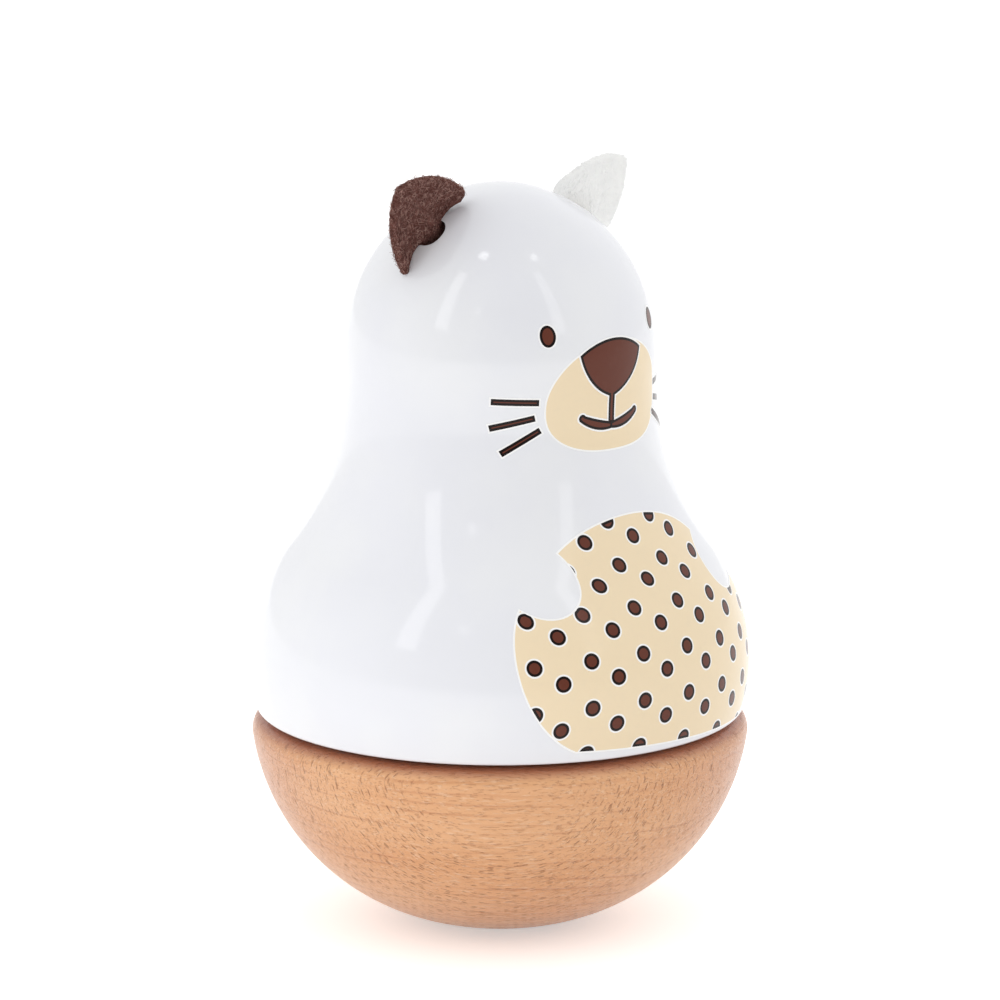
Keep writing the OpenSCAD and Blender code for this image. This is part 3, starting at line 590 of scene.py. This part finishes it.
# Ear holes: a bore with a softened rim
ear = {
    "rise": 44,             # degrees above level, seen from the middle of the crown's arc
    "hole": 2.8, "holeAt": (0.3, 0, 0.6), "depth": 7, "rim": 0.45,
    "past": 6,              # how far the drill stands out of the head
    "margin": 0.1,
}


def turnBy(degrees, axis):
    return Matrix.Rotation(math.radians(degrees), 4, axis)


def earFrame(side):  # X down along the head, Y out of the hole, Z forward; side -1 is the bear's right
    out = Vector((math.cos(math.radians(ear["rise"])), math.sin(math.radians(ear["rise"]))))
    start = arcs["crown"] - arcs["side"]
    reach = math.sqrt(start.dot(out) ** 2 + figure["sideRadius"] ** 2 - start.length_squared)
    at = arcs["crown"] + out * (reach - start.dot(out))
    turn = turnBy(90, "X") @ turnBy(ear["rise"] - 90, "Z")
    return Matrix.Scale(side, 4, (1, 0, 0)) @ Matrix.Translation((at.x, 0, at.y)) @ turn


def holeFrame(side):
    return earFrame(side) @ Matrix.Translation(ear["holeAt"])


def earDrill(side):
    bm = bmesh.new()
    wide = ear["hole"] + ear["rim"]
    v = bm.verts.new((0, 0, -ear["depth"]))
    v = lineTo(bm, v, ear["hole"], -ear["depth"])
    v = lineTo(bm, v, ear["hole"], -ear["rim"])
    v = arcAbout(bm, v, (wide, -ear["rim"]), 90, steps=6)
    v = lineTo(bm, v, wide, ear["past"])
    lineTo(bm, v, 0, ear["past"])
    turnedOnLathe(bm, steps=48)
    tip = turnBy(-90, "X")      # the drill's Z becomes the hole's Y
    bmesh.ops.transform(bm, matrix=holeFrame(side) @ tip, verts=bm.verts[:])
    bmesh.ops.recalc_face_normals(bm, faces=bm.faces[:])
    bmesh.ops.scale(bm, vec=(millimetre,) * 3, verts=bm.verts[:])
    mesh = bpy.data.meshes.new("earDrill")
    bm.to_mesh(mesh)
    bm.free()
    obj = bpy.data.objects.new("earDrill", mesh)
    bpy.context.scene.collection.objects.link(obj)
    return obj


def turnFigure(c):
    bm = bmesh.new()
    v = bm.verts.new((0, 0, c["top"]))
    v = arcAbout(bm, v, arcs["crown"], 90 - sideTop, steps=20)
    v = arcAbout(bm, v, arcs["side"], sideTop - sideLow, steps=44)
    v = arcAbout(bm, v, arcs["neck"], -math.degrees(neckRise / c["neckRadius"]), steps=40)
    edgeTurn = bearing(arcs["belly"], arcs["edge"])
    v = arcAbout(bm, v, arcs["belly"], bellyTop - edgeTurn, steps=50)
    v = arcAbout(bm, v, arcs["edge"], edgeTurn + 90, steps=10)
    hollow = c["mouth"] - c["shoulderWidth"]
    hollowTop = c["shoulder"] + c["hollowHeight"]
    boreTop = hollowTop + c["taper"] + c["boreHeight"]
    roof = c["bore"] / c["roofPart"]
    for x, z in ((c["mouth"], c["foot"]), (c["mouth"], c["shoulder"]), (hollow, c["shoulder"]),
                 (hollow, hollowTop), (c["bore"], hollowTop + c["taper"]), (c["bore"], boreTop),
                 (roof, boreTop + roof), (0, boreTop + roof)):
        v = lineTo(bm, v, x, z)
    turnedOnLathe(bm, c["turns"])
    piece = makePiece("figure_body", bm, "figure", [whiteLacquer])
    drills = [earDrill(side) for side in (-1, 1)]
    for drill in drills:
        cut = piece.modifiers.new("earHole", "BOOLEAN")
        cut.operation = "DIFFERENCE"
        cut.solver = "EXACT"
        cut.object = drill
    bakeModifiers(piece)
    for drill in drills:
        bpy.data.objects.remove(drill)
    shadeMesh(piece.data)
    # The hole under the brown ear gets the bore painted near black, as painted shade of its depth.
    for side, bore in ((-1, paintedShadeBore), (1, paleBore)):
        piece.data.materials.append(bore)
        inHole = holeFrame(side).inverted()
        for part in piece.data.polygons:
            at = inHole @ (part.center / millimetre)
            inside = -ear["depth"] - ear["margin"] < at.y < -ear["rim"] - ear["margin"]
            if inside and math.hypot(at.x, at.z) < ear["hole"] + ear["margin"]:
                part.material_index = len(piece.data.materials) - 1
    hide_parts("figure_shell")


turnFigure(figure)
print("figure turned, ear holes drilled")

# Felt ears: a flat cut of felt with a tab, cupped, pinched at the tab, leant forward and pushed into its
# hole, with loose fibres on it
felt = {
    "thick": 1.4, "tab": (2.35, -5.5), "neck": (2.9, -1.0), "hem": (5.4, -0.7), "hemEnd": (8.2, -0.8),
    "corner": (9.4, 0.1), "sideLow": (9.6, 2.4), "side": (6.8, 8.9), "sideTop": (0.6, 14.3), "top": 14.5,
    "cupRadius": 16.5, "back": 1.3, "yaw": 5.5, "lean": 20, "sway": 2.5,
    "pinch": 2.2, "pinchWide": 2.8, "pinchHigh": 4.5, "tabHeld": -1.7, "tabFree": 0.8,
    "square": 0.8, "grain": 0.26, "rounds": 6, "easing": 0.5,
    "lump": 0.12, "lumps": ((1.1, 0.6), (2.7, 0.4)),    # height, and the scale and share of each noise
    "fibres": 2300, "fibreLength": (0.5, 1.5), "fibreThick": 0.05, "fibreTip": 0.4, "fibreFoot": 0.4,
    "fibreStand": 0.5, "fibreOut": 0.4, "fibreLift": 0.03,
}


def earCut(bm):  # drawn flat: across, and up from the hole
    def at(name, side):
        return side * felt[name][0], felt[name][1]
    v = bm.verts.new((felt["tab"][0], 0, felt["tab"][1]))
    v = lineTo(bm, v, *at("tab", -1))
    v = lineTo(bm, v, *at("neck", -1))
    v = arcThrough(bm, v, at("hem", -1), at("hemEnd", -1), steps=6)
    v = arcThrough(bm, v, at("corner", -1), at("sideLow", -1), steps=8)
    v = arcThrough(bm, v, at("side", -1), at("sideTop", -1), steps=16)
    v = arcThrough(bm, v, (0, felt["top"]), at("sideTop", 1), steps=8)
    v = arcThrough(bm, v, at("side", 1), at("sideLow", 1), steps=16)
    v = arcThrough(bm, v, at("corner", 1), at("hemEnd", 1), steps=8)
    v = arcThrough(bm, v, at("hem", 1), at("neck", 1), steps=6)
    lineTo(bm, v, *at("tab", 1))
    return closeFace(bm)


def foldEar(bm, lower):  # lower: how far the hem is set down the head, while tab and tip stay
    stand = Matrix.Translation((0, 0, -felt["back"])) @ turnBy(felt["yaw"], "Y")
    stand = stand @ turnBy(felt["lean"], "X") @ turnBy(-felt["sway"], "Z")
    for vert in bm.verts:
        turn = vert.co.x / felt["cupRadius"]
        up = max(vert.co.z, 0)
        free = min(max((vert.co.z - felt["tabHeld"]) / felt["tabFree"], 0), 1)
        off = (vert.co.x / felt["pinchWide"]) ** 2 + (up / felt["pinchHigh"]) ** 2
        pinch = felt["pinch"] * math.exp(-off)
        deep = Vector((0, min(vert.co.z, 0), 0))
        vert.co = stand @ Vector((math.sin(turn) * felt["cupRadius"], up,
                                  (1 - math.cos(turn)) * felt["cupRadius"] + pinch)) + deep
        vert.co.x += lower * free * (1 - up / felt["top"])


def feltEar(name, node, side, wide, lower, cloth, fibre, seed):
    bm = bmesh.new()
    cut = earCut(bm)
    bmesh.ops.scale(bm, vec=(wide, 1, 1), verts=bm.verts[:])
    area = cut.calc_area()
    cutInSquares(bm, felt["square"])
    foldEar(bm, lower)
    bmesh.ops.transform(bm, matrix=earFrame(side), verts=bm.verts[:])
    bmesh.ops.recalc_face_normals(bm, faces=bm.faces[:])
    piece = makePiece(name, bm, "figure", [cloth])
    wall = piece.modifiers.new("thick", "SOLIDIFY")
    wall.thickness = felt["thick"] * millimetre
    wall.offset = 0
    grid = piece.modifiers.new("felted", "REMESH")
    grid.mode = "VOXEL"
    grid.voxel_size = felt["grain"] * millimetre
    bakeModifiers(piece)
    bm = bmesh.new()
    bm.from_mesh(piece.data)
    for _ in range(felt["rounds"]):
        bmesh.ops.smooth_vert(bm, verts=bm.verts[:], factor=felt["easing"],
                              use_axis_x=True, use_axis_y=True, use_axis_z=True)
    bm.normal_update()
    for vert in bm.verts:
        p = vert.co / millimetre
        lump = sum(noise.noise(p * scale) * share for scale, share in felt["lumps"])
        vert.co += vert.normal * felt["lump"] * lump * millimetre
    for part in bm.faces:
        part.smooth = True
    bm.normal_update()
    inHole = earFrame(side).inverted()
    spots = [(part.calc_center_median(), part.normal.copy()) for part in bm.faces]
    spots = [(at, out) for at, out in spots if (inHole @ (at / millimetre)).y > felt["fibreFoot"]]
    bm.to_mesh(piece.data)
    bm.free()
    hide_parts(node)
    fuzz = looseFibres(name + "_fibres", spots, fibre, seed)
    wide *= 2 * felt["sideLow"][0]
    area * millimetre ** 2


def looseFibres(name, spots, fibre, seed):
    pick = random.Random(seed)
    bm = bmesh.new()
    for _ in range(felt["fibres"]):
        at, out = pick.choice(spots)
        length = pick.uniform(*felt["fibreLength"])
        level = out.orthogonal().normalized()
        level.rotate(Matrix.Rotation(pick.uniform(0, math.tau), 3, out))
        along = (level + out * pick.uniform(0, felt["fibreStand"]) ** 2).normalized()
        middle = at + (along * length * felt["fibreOut"] + out * felt["fibreLift"]) * millimetre
        spin = along.to_track_quat("Z", "X").to_matrix().to_4x4()
        bmesh.ops.create_cone(bm, cap_ends=True, segments=3, radius1=felt["fibreThick"] * millimetre,
                              radius2=felt["fibreThick"] * felt["fibreTip"] * millimetre,
                              depth=length * millimetre, matrix=Matrix.Translation(middle) @ spin)
    return makePiece(name, bm, "figure", [fibre], inMetres=True)


feltEar("ear_felt_right", "ear_right", side=-1, wide=1, lower=0, cloth=brownFeltCloth, fibre=brownFibre,
        seed=3)
feltEar("ear_felt_left", "ear_left", side=1, wide=0.87, lower=1.4, cloth=whiteFeltCloth, fibre=whiteFibre,
        seed=5)
print("ears felted")

# Prints are drawn flat in millimetres: across from the face's middle, and up along the body from its lower
# edge. Then they are cut into small squares and laid on the body.
prints = {
    "film": 0.05, "sunk": 0.02,             # how far a film stands out of the body and goes into it
    "noseLayer": 2, "partLayer": 2.6,       # these lie on other prints
    "square": 1.4, "edge": 0.3, "line": 0.46, "sharpest": -0.4,
}
face = {
    "middle": 0.05, "chin": 59, "lean": 0.068,      # the print leans a little: its middle moves with height
    "eyeOut": 13.45, "eyeUp": 75.9, "eyeSize": (2.95, 3.85),
    "noseCorner": (7.52, 72.05), "noseTop": 74.45, "noseSide": (5.6, 67.95), "noseLow": 64.42,
    "stemHalf": 0.7, "lipIn": 59.95, "lipUpper": (3.0, 60.5), "lipOut": (5.75, 61.36),
    "lipTip": (6.98, 61.36), "lipEnd": (6.95, 60.5), "lipLower": (4.3, 59.0), "lipLow": 58.62,
    "partHalf": 0.2, "partTop": 60.0, "partIn": 0.1,
    "muzzleUp": 63.2, "muzzleAside": 0.6, "muzzleHalf": 14.0, "muzzleRise": 10.9, "muzzleDrop": 8.15,
    "muzzleRound": 2.6,
    "whiskers": (((23.2, 64.7), (14.75, 64.35)), ((23.3, 60.0), (15.2, 61.7)),
                 ((21.4, 55.55), (14.05, 59.55))),
    "whiskerThick": 1.12,
}


def leanFace(bm):
    for vert in bm.verts:
        vert.co.x += face["middle"] + face["lean"] * (vert.co.z - face["chin"])


def addLine(bm, made, width, number):  # a band of that width just inside the outline
    ring = bmesh.ops.inset_region(bm, faces=[made], thickness=width, use_even_offset=True,
                                  use_boundary=True)
    for part in ring["faces"]:
        part.material_index = number


def addEdge(bm, width, number):  # a band of that width just outside the outline
    outward = {}
    rim = [edge for edge in bm.edges if edge.is_boundary]
    for edge in rim:
        loop = edge.link_loops[0]
        away = (loop.link_loop_next.vert.co - loop.vert.co).normalized().cross(loop.face.normal)
        for vert in edge.verts:
            outward.setdefault(vert, []).append(away)
    old = set(outward)
    grown = bmesh.ops.extrude_edge_only(bm, edges=rim)["geom"]
    for vert in [g for g in grown if isinstance(g, bmesh.types.BMVert)]:
        source = [e.other_vert(vert) for e in vert.link_edges if e.other_vert(vert) in old][0]
        first, second = outward[source]
        shared = 1 + max(first.dot(second), prints["sharpest"])
        vert.co = source.co + (first + second) * width / shared
    for part in [g for g in grown if isinstance(g, bmesh.types.BMFace)]:
        part.material_index = number


def layOnBody(bm, lift, square):
    cutInSquares(bm, square)
    for vert in bm.verts:
        at, out = surfacePoint(vert.co.z)
        turn = vert.co.x / at.x
        at = at + out * lift
        vert.co = Vector((at.x * math.sin(turn), -at.x * math.cos(turn), at.y))
    bm.normal_update()
    for part in bm.faces:
        middle = part.calc_center_median()
        if part.normal.dot(Vector((middle.x, middle.y, 0))) < 0:
            part.normal_flip()


def filmPiece(name, bm, lift, finishes):
    layOnBody(bm, lift, prints["square"])
    piece = makePiece(name, bm, "figure", finishes)
    film = piece.modifiers.new("film", "SOLIDIFY")
    film.thickness = (lift + prints["sunk"]) * millimetre
    film.offset = -1


def printPiece(name, outlines, lift, finishes):  # finishes: inside, white edge and, where lined, the line
    whole = bmesh.new()
    sheet = bpy.data.meshes.new(name + "Sheet")
    for drawOne in outlines:
        bm = bmesh.new()
        made = drawOne(bm)
        if len(finishes) > 2:
            addLine(bm, made, prints["line"], 2)
        if len(finishes) > 1:
            addEdge(bm, prints["edge"], 1)
        bm.to_mesh(sheet)
        bm.free()
        whole.from_mesh(sheet)
    bpy.data.meshes.remove(sheet)
    filmPiece(name, whole, lift, finishes)


def ovalFace(bm, segments):
    bmesh.ops.create_circle(bm, cap_ends=True, segments=segments, radius=1)
    upright = Matrix.Rotation(math.radians(90), 3, "X")
    bmesh.ops.rotate(bm, cent=(0, 0, 0), matrix=upright, verts=bm.verts[:])
    bm.normal_update()
    return bm.faces[:][0]


def eyeOutline(side):
    def draw(bm):
        made = ovalFace(bm, segments=48)
        bmesh.ops.scale(bm, vec=(face["eyeSize"][0] / 2, 1, face["eyeSize"][1] / 2), verts=bm.verts[:])
        bmesh.ops.translate(bm, vec=(side * face["eyeOut"], 0, face["eyeUp"]), verts=bm.verts[:])
        leanFace(bm)
        return made
    return draw


def noseOutline(bm):  # nose, stem and mouth in one outline
    x, up = face["noseCorner"]
    half = face["stemHalf"]

    def at(name, side):
        return side * face[name][0], face[name][1]
    v = bm.verts.new((-x, 0, up))
    v = arcThrough(bm, v, (0, face["noseTop"]), (x, up), steps=20)
    v = arcThrough(bm, v, at("noseSide", 1), (half, face["noseLow"]), steps=18)
    v = lineTo(bm, v, half, face["lipIn"])
    v = arcThrough(bm, v, at("lipUpper", 1), at("lipOut", 1), steps=8)
    v = arcThrough(bm, v, at("lipTip", 1), at("lipEnd", 1), steps=10)
    v = arcThrough(bm, v, at("lipLower", 1), (0, face["lipLow"]), steps=12)
    v = arcThrough(bm, v, at("lipLower", -1), at("lipEnd", -1), steps=12)
    v = arcThrough(bm, v, at("lipTip", -1), at("lipOut", -1), steps=10)
    v = arcThrough(bm, v, at("lipUpper", -1), (-half, face["lipIn"]), steps=8)
    v = lineTo(bm, v, -half, face["noseLow"])
    arcThrough(bm, v, at("noseSide", -1), (-x, up), steps=18)
    leanFace(bm)
    return closeFace(bm)


def partOutline(bm):  # the dark line between the lips
    half = face["partHalf"]
    low = face["lipLow"] + face["partIn"]
    v = bm.verts.new((-half, 0, low))
    for x, z in ((half, low), (half, face["partTop"]), (-half, face["partTop"]), (-half, low)):
        v = lineTo(bm, v, x, z)
    leanFace(bm)
    return closeFace(bm)


def muzzleOutline(bm):  # half an oval above, a squarer half below
    made = ovalFace(bm, segments=120)
    power = 2 / face["muzzleRound"]
    for vert in bm.verts:
        if vert.co.z > 0:
            vert.co.z *= face["muzzleRise"]
        else:
            vert.co.x = math.copysign(abs(vert.co.x) ** power, vert.co.x)
            vert.co.z = -face["muzzleDrop"] * abs(vert.co.z) ** power
        vert.co.x *= face["muzzleHalf"]
    bmesh.ops.translate(bm, vec=(face["muzzleAside"], 0, face["muzzleUp"]), verts=bm.verts[:])
    leanFace(bm)
    return made


def whiskerOutline(side, ends):
    def draw(bm):
        start = Vector((side * ends[0][0], 0, ends[0][1]))
        end = Vector((side * ends[1][0], 0, ends[1][1]))
        along = (end - start).normalized()
        half = Vector((-along.z, 0, along.x)) * face["whiskerThick"] / 2
        v = bm.verts.new(start + half)
        for p in (start - half, end - half, end + half, start + half):
            v = lineTo(bm, v, p.x, p.z)
        middle = face["middle"] + face["lean"] * (start.z - face["chin"])
        bmesh.ops.translate(bm, vec=(middle, 0, 0), verts=bm.verts[:])
        return closeFace(bm)
    return draw


inkBands = [brownInk, edgeInk, darkInk]
printPiece("muzzle_print", [muzzleOutline], prints["film"], [creamInk, edgeInk])
printPiece("eye_prints", [eyeOutline(-1), eyeOutline(1)], prints["film"], inkBands)
printPiece("nose_mouth_print", [noseOutline], prints["film"] * prints["noseLayer"], inkBands)
printPiece("lip_part_print", [partOutline], prints["film"] * prints["partLayer"], [darkInk])
printPiece("whisker_prints", [whiskerOutline(side, ends) for side in (-1, 1) for ends in face["whiskers"]],
           prints["film"], inkBands)
print("face printed")

# Belly patch: a wide oval with a round bite at each arm, cut level above the lower edge.
# Its dots stand in staggered rows, two to a cell, and the rows sink a little towards both sides.
patch = {
    "middle": 1.5, "top": 44.2, "shoulder": (17.8, 38.1), "bite": (16.3, 31.5), "tip": (28.45, 27.9),
    "side": (32.0, 17.0), "corner": (21.8, 2.05),
    "tilt": 0.03, "tiltFrom": -24,      # sinks a little towards the bear's left
    "dotStart": (-12.29, 15.12), "cellAcross": (10.34, -0.2), "cellUp": (0.67, 8.12),
    "second": (5.0, -4.93), "sink": 0.002, "sinkFrom": -2, "dotRadius": 1.42, "dotSoft": 0.05,
    "mapSize": 100, "mapMiddle": 0.5,
}


def dotDistance(f, c, x, y):  # how far a point is from the middle of the nearest dot
    ax, ay = c["cellAcross"]
    bx, by = c["cellUp"]
    det = ax * by - ay * bx
    rows = (x * by - y * bx) / det
    columns = (y * ax - x * ay) / det
    rows = rows - f.node("Math", {"operation": "ROUND"}, {0: rows})
    columns = columns - f.node("Math", {"operation": "ROUND"}, {0: columns})
    dx = rows * ax + columns * bx
    dy = rows * ay + columns * by
    return f.node("Math", {"operation": "SQRT"}, {0: dx * dx + dy * dy})


def patchFinish(name, c, fill):
    f = Finish(name)
    flat = f.node("UVMap", {"uv_map": "print"})
    x = f.node("SeparateXYZ", {}, {0: flat})
    y = f.node("SeparateXYZ", {}, {0: flat}, out=1)
    x = (x - c["mapMiddle"]) * c["mapSize"]
    aside = x - c["sinkFrom"]
    y = y * c["mapSize"] + aside * aside * c["sink"] - c["dotStart"][1]
    x = x - c["dotStart"][0]
    second = dotDistance(f, c, x - c["second"][0], y - c["second"][1])
    off = f.node("Math", {"operation": "MINIMUM"}, {0: dotDistance(f, c, x, y), 1: second})
    place = f.place()

    def inside(radius):
        return 1 - f.ramp(off, radius - c["dotSoft"], radius + c["dotSoft"])
    colour = inkMottle(f, place, inks["cream"])
    colour = f.mix(inside(c["dotRadius"] + prints["edge"]), colour, tint(*inks["edge"]))
    colour = f.mix(inside(c["dotRadius"]), colour, tint(*inks["dark"]))
    colour = f.mix(inside(c["dotRadius"] - prints["line"]), colour, inkMottle(f, place, fill))
    setInk(f, place, colour)
    return f.material


def patchOutline(bm):
    def at(name, side):
        return side * patch[name][0], patch[name][1]
    v = bm.verts.new((-patch["corner"][0], 0, patch["corner"][1]))
    v = arcThrough(bm, v, at("side", -1), at("tip", -1), steps=30)
    v = arcThrough(bm, v, at("bite", -1), at("shoulder", -1), steps=24)
    v = arcThrough(bm, v, (0, patch["top"]), at("shoulder", 1), steps=36)
    v = arcThrough(bm, v, at("bite", 1), at("tip", 1), steps=24)
    v = arcThrough(bm, v, at("side", 1), at("corner", 1), steps=30)
    lineTo(bm, v, *at("corner", -1))
    for vert in bm.verts:
        vert.co.x += patch["middle"]
        vert.co.z -= (vert.co.x - patch["tiltFrom"]) * patch["tilt"]
    return closeFace(bm)


def printPatch():
    bm = bmesh.new()
    made = patchOutline(bm)
    addLine(bm, made, prints["edge"], 1)
    addLine(bm, made, prints["line"], 2)    # dots that the outline cuts have their dark line along the cut
    flat = bm.loops.layers.uv.new("print")
    for part in bm.faces:
        for loop in part.loops:
            at = loop.vert.co
            loop[flat].uv = (at.x / patch["mapSize"] + patch["mapMiddle"], at.z / patch["mapSize"])
    filmPiece("belly_patch", bm, prints["film"],
              [patchFinish("patchPrint", patch, inks["brown"]), edgeInk,
               patchFinish("patchBorder", patch, inks["dark"])])


printPatch()
print("belly patch printed")

# Stage: a white floor that keeps the shadow, in a light tent that is dimmer towards the camera. Two tall
# strips and three small heads give the streaks and glints on the lacquer, and a low card fills in the
# lower belly.
stage = {
    "floorHalf": 6.0, "floorWhite": 0.98, "floorRough": 0.8, "floorSpecular": 0.1, "glow": 0.45,
    "facing": -43.5,        # degrees round the object to the camera
    "front": 0.435, "frontRange": (0.1, 0.9), "left": 0.98, "right": 1.1, "sideRange": (-0.5, 0.5),
    "top": 0.9, "topRange": (0.45, 0.95),
}
lamps = {   # turn: degrees round the object from the camera; aim: height above the floor; metres and watts
    "stripLeft": {"turn": -46, "away": 1.5, "height": 1.475, "aim": 1.475,
                  "size": (0.28, 1.75), "power": 2.67},
    "stripRight": {"turn": 46, "away": 1.5, "height": 1.435, "aim": 1.435,
                   "size": (0.24, 1.83), "power": 1.74},
    "headLeft": {"turn": -33, "away": 0.42, "height": 1.35, "aim": 0.08,
                 "size": (0.12, 0.12), "power": 0.24},
    "headRight": {"turn": 59, "away": 0.55, "height": 1.30, "aim": 0.08,
                  "size": (0.11, 0.11), "power": 0.12},
    "headLow": {"turn": -19, "away": 1.17, "height": 0.88, "aim": 0.08,
                "size": (0.11, 0.11), "power": 0.05},
    "fillCard": {"turn": -38, "away": 0.2, "height": 0.03, "aim": 0.05,
                 "size": (0.3, 0.05), "power": 0.063, "mirrored": False},   # the lacquer doesn't show it
}


def layFloor(c):
    bm = bmesh.new()
    bmesh.ops.create_grid(bm, x_segments=1, y_segments=1, size=c["floorHalf"])
    mesh = bpy.data.meshes.new("floor")
    bm.to_mesh(mesh)
    bm.free()
    f = Finish("floorWhite")
    f.set(colour=(c["floorWhite"],) * 3 + (1,), rough=c["floorRough"], specular=c["floorSpecular"])
    path = f.node("LightPath", out="Is Camera Ray")
    seen = path + Wire(f, path.socket.node.outputs["Is Glossy Ray"])
    seen = seen + Wire(f, path.socket.node.outputs["Is Transmission Ray"])
    glow = f.node("Emission", {}, {"Color": (1, 1, 1, 1), "Strength": seen * c["glow"]})
    both = f.node("AddShader", {}, {0: Wire(f, f.shader.outputs[0]), 1: glow})
    f.feed(f.tree.nodes["Material Output"].inputs["Surface"], both)
    mesh.materials.append(f.material)
    floor = bpy.data.objects.new("floor", mesh)
    bpy.context.scene.collection.objects.link(floor)


def lightSurround(c):
    world = bpy.data.worlds.new("surround")
    world.use_nodes = True
    tent = Shading(world.node_tree)
    way = tent.node("TexCoord", out="Generated")

    def towards(turn):  # 1 straight towards that side, -1 away from it
        a = math.radians(c["facing"] + turn)
        return tent.node("VectorMath", {"operation": "DOT_PRODUCT"},
                         {0: way, 1: (math.sin(a), -math.cos(a), 0)}, out="Value")
    side = c["right"] + tent.ramp(towards(-90), *c["sideRange"]) * (c["left"] - c["right"])
    glow = side + tent.ramp(towards(0), *c["frontRange"]) * (c["front"] - side)
    high = tent.ramp(tent.node("SeparateXYZ", {}, {0: way}, out="Z"), *c["topRange"])
    glow = glow + high * (c["top"] - glow)
    light = world.node_tree.nodes["Background"]
    tent.feed(light.inputs["Color"], (1, 1, 1, 1))
    tent.feed(light.inputs["Strength"], glow)
    bpy.context.scene.world = world


def hangSoftBox(name, c):
    data = bpy.data.lights.new(name, "AREA")
    data.shape = "RECTANGLE"
    data.size, data.size_y = c["size"]
    data.energy = c["power"]
    obj = bpy.data.objects.new(name, data)
    bpy.context.scene.collection.objects.link(obj)
    a = math.radians(stage["facing"] + c["turn"])
    obj.location = (math.sin(a) * c["away"], -math.cos(a) * c["away"], c["height"])
    aim = Vector((0, 0, c["aim"])) - obj.location
    obj.rotation_euler = aim.to_track_quat("-Z", "Y").to_euler()
    obj.visible_camera = c.get("mirrored", True)
    obj.visible_glossy = c.get("mirrored", True)


layFloor(stage)
lightSurround(stage)
for lampName, lamp in lamps.items():
    hangSoftBox(lampName, lamp)
bpy.context.scene.view_settings.view_transform = "Standard"
print("stage lit")
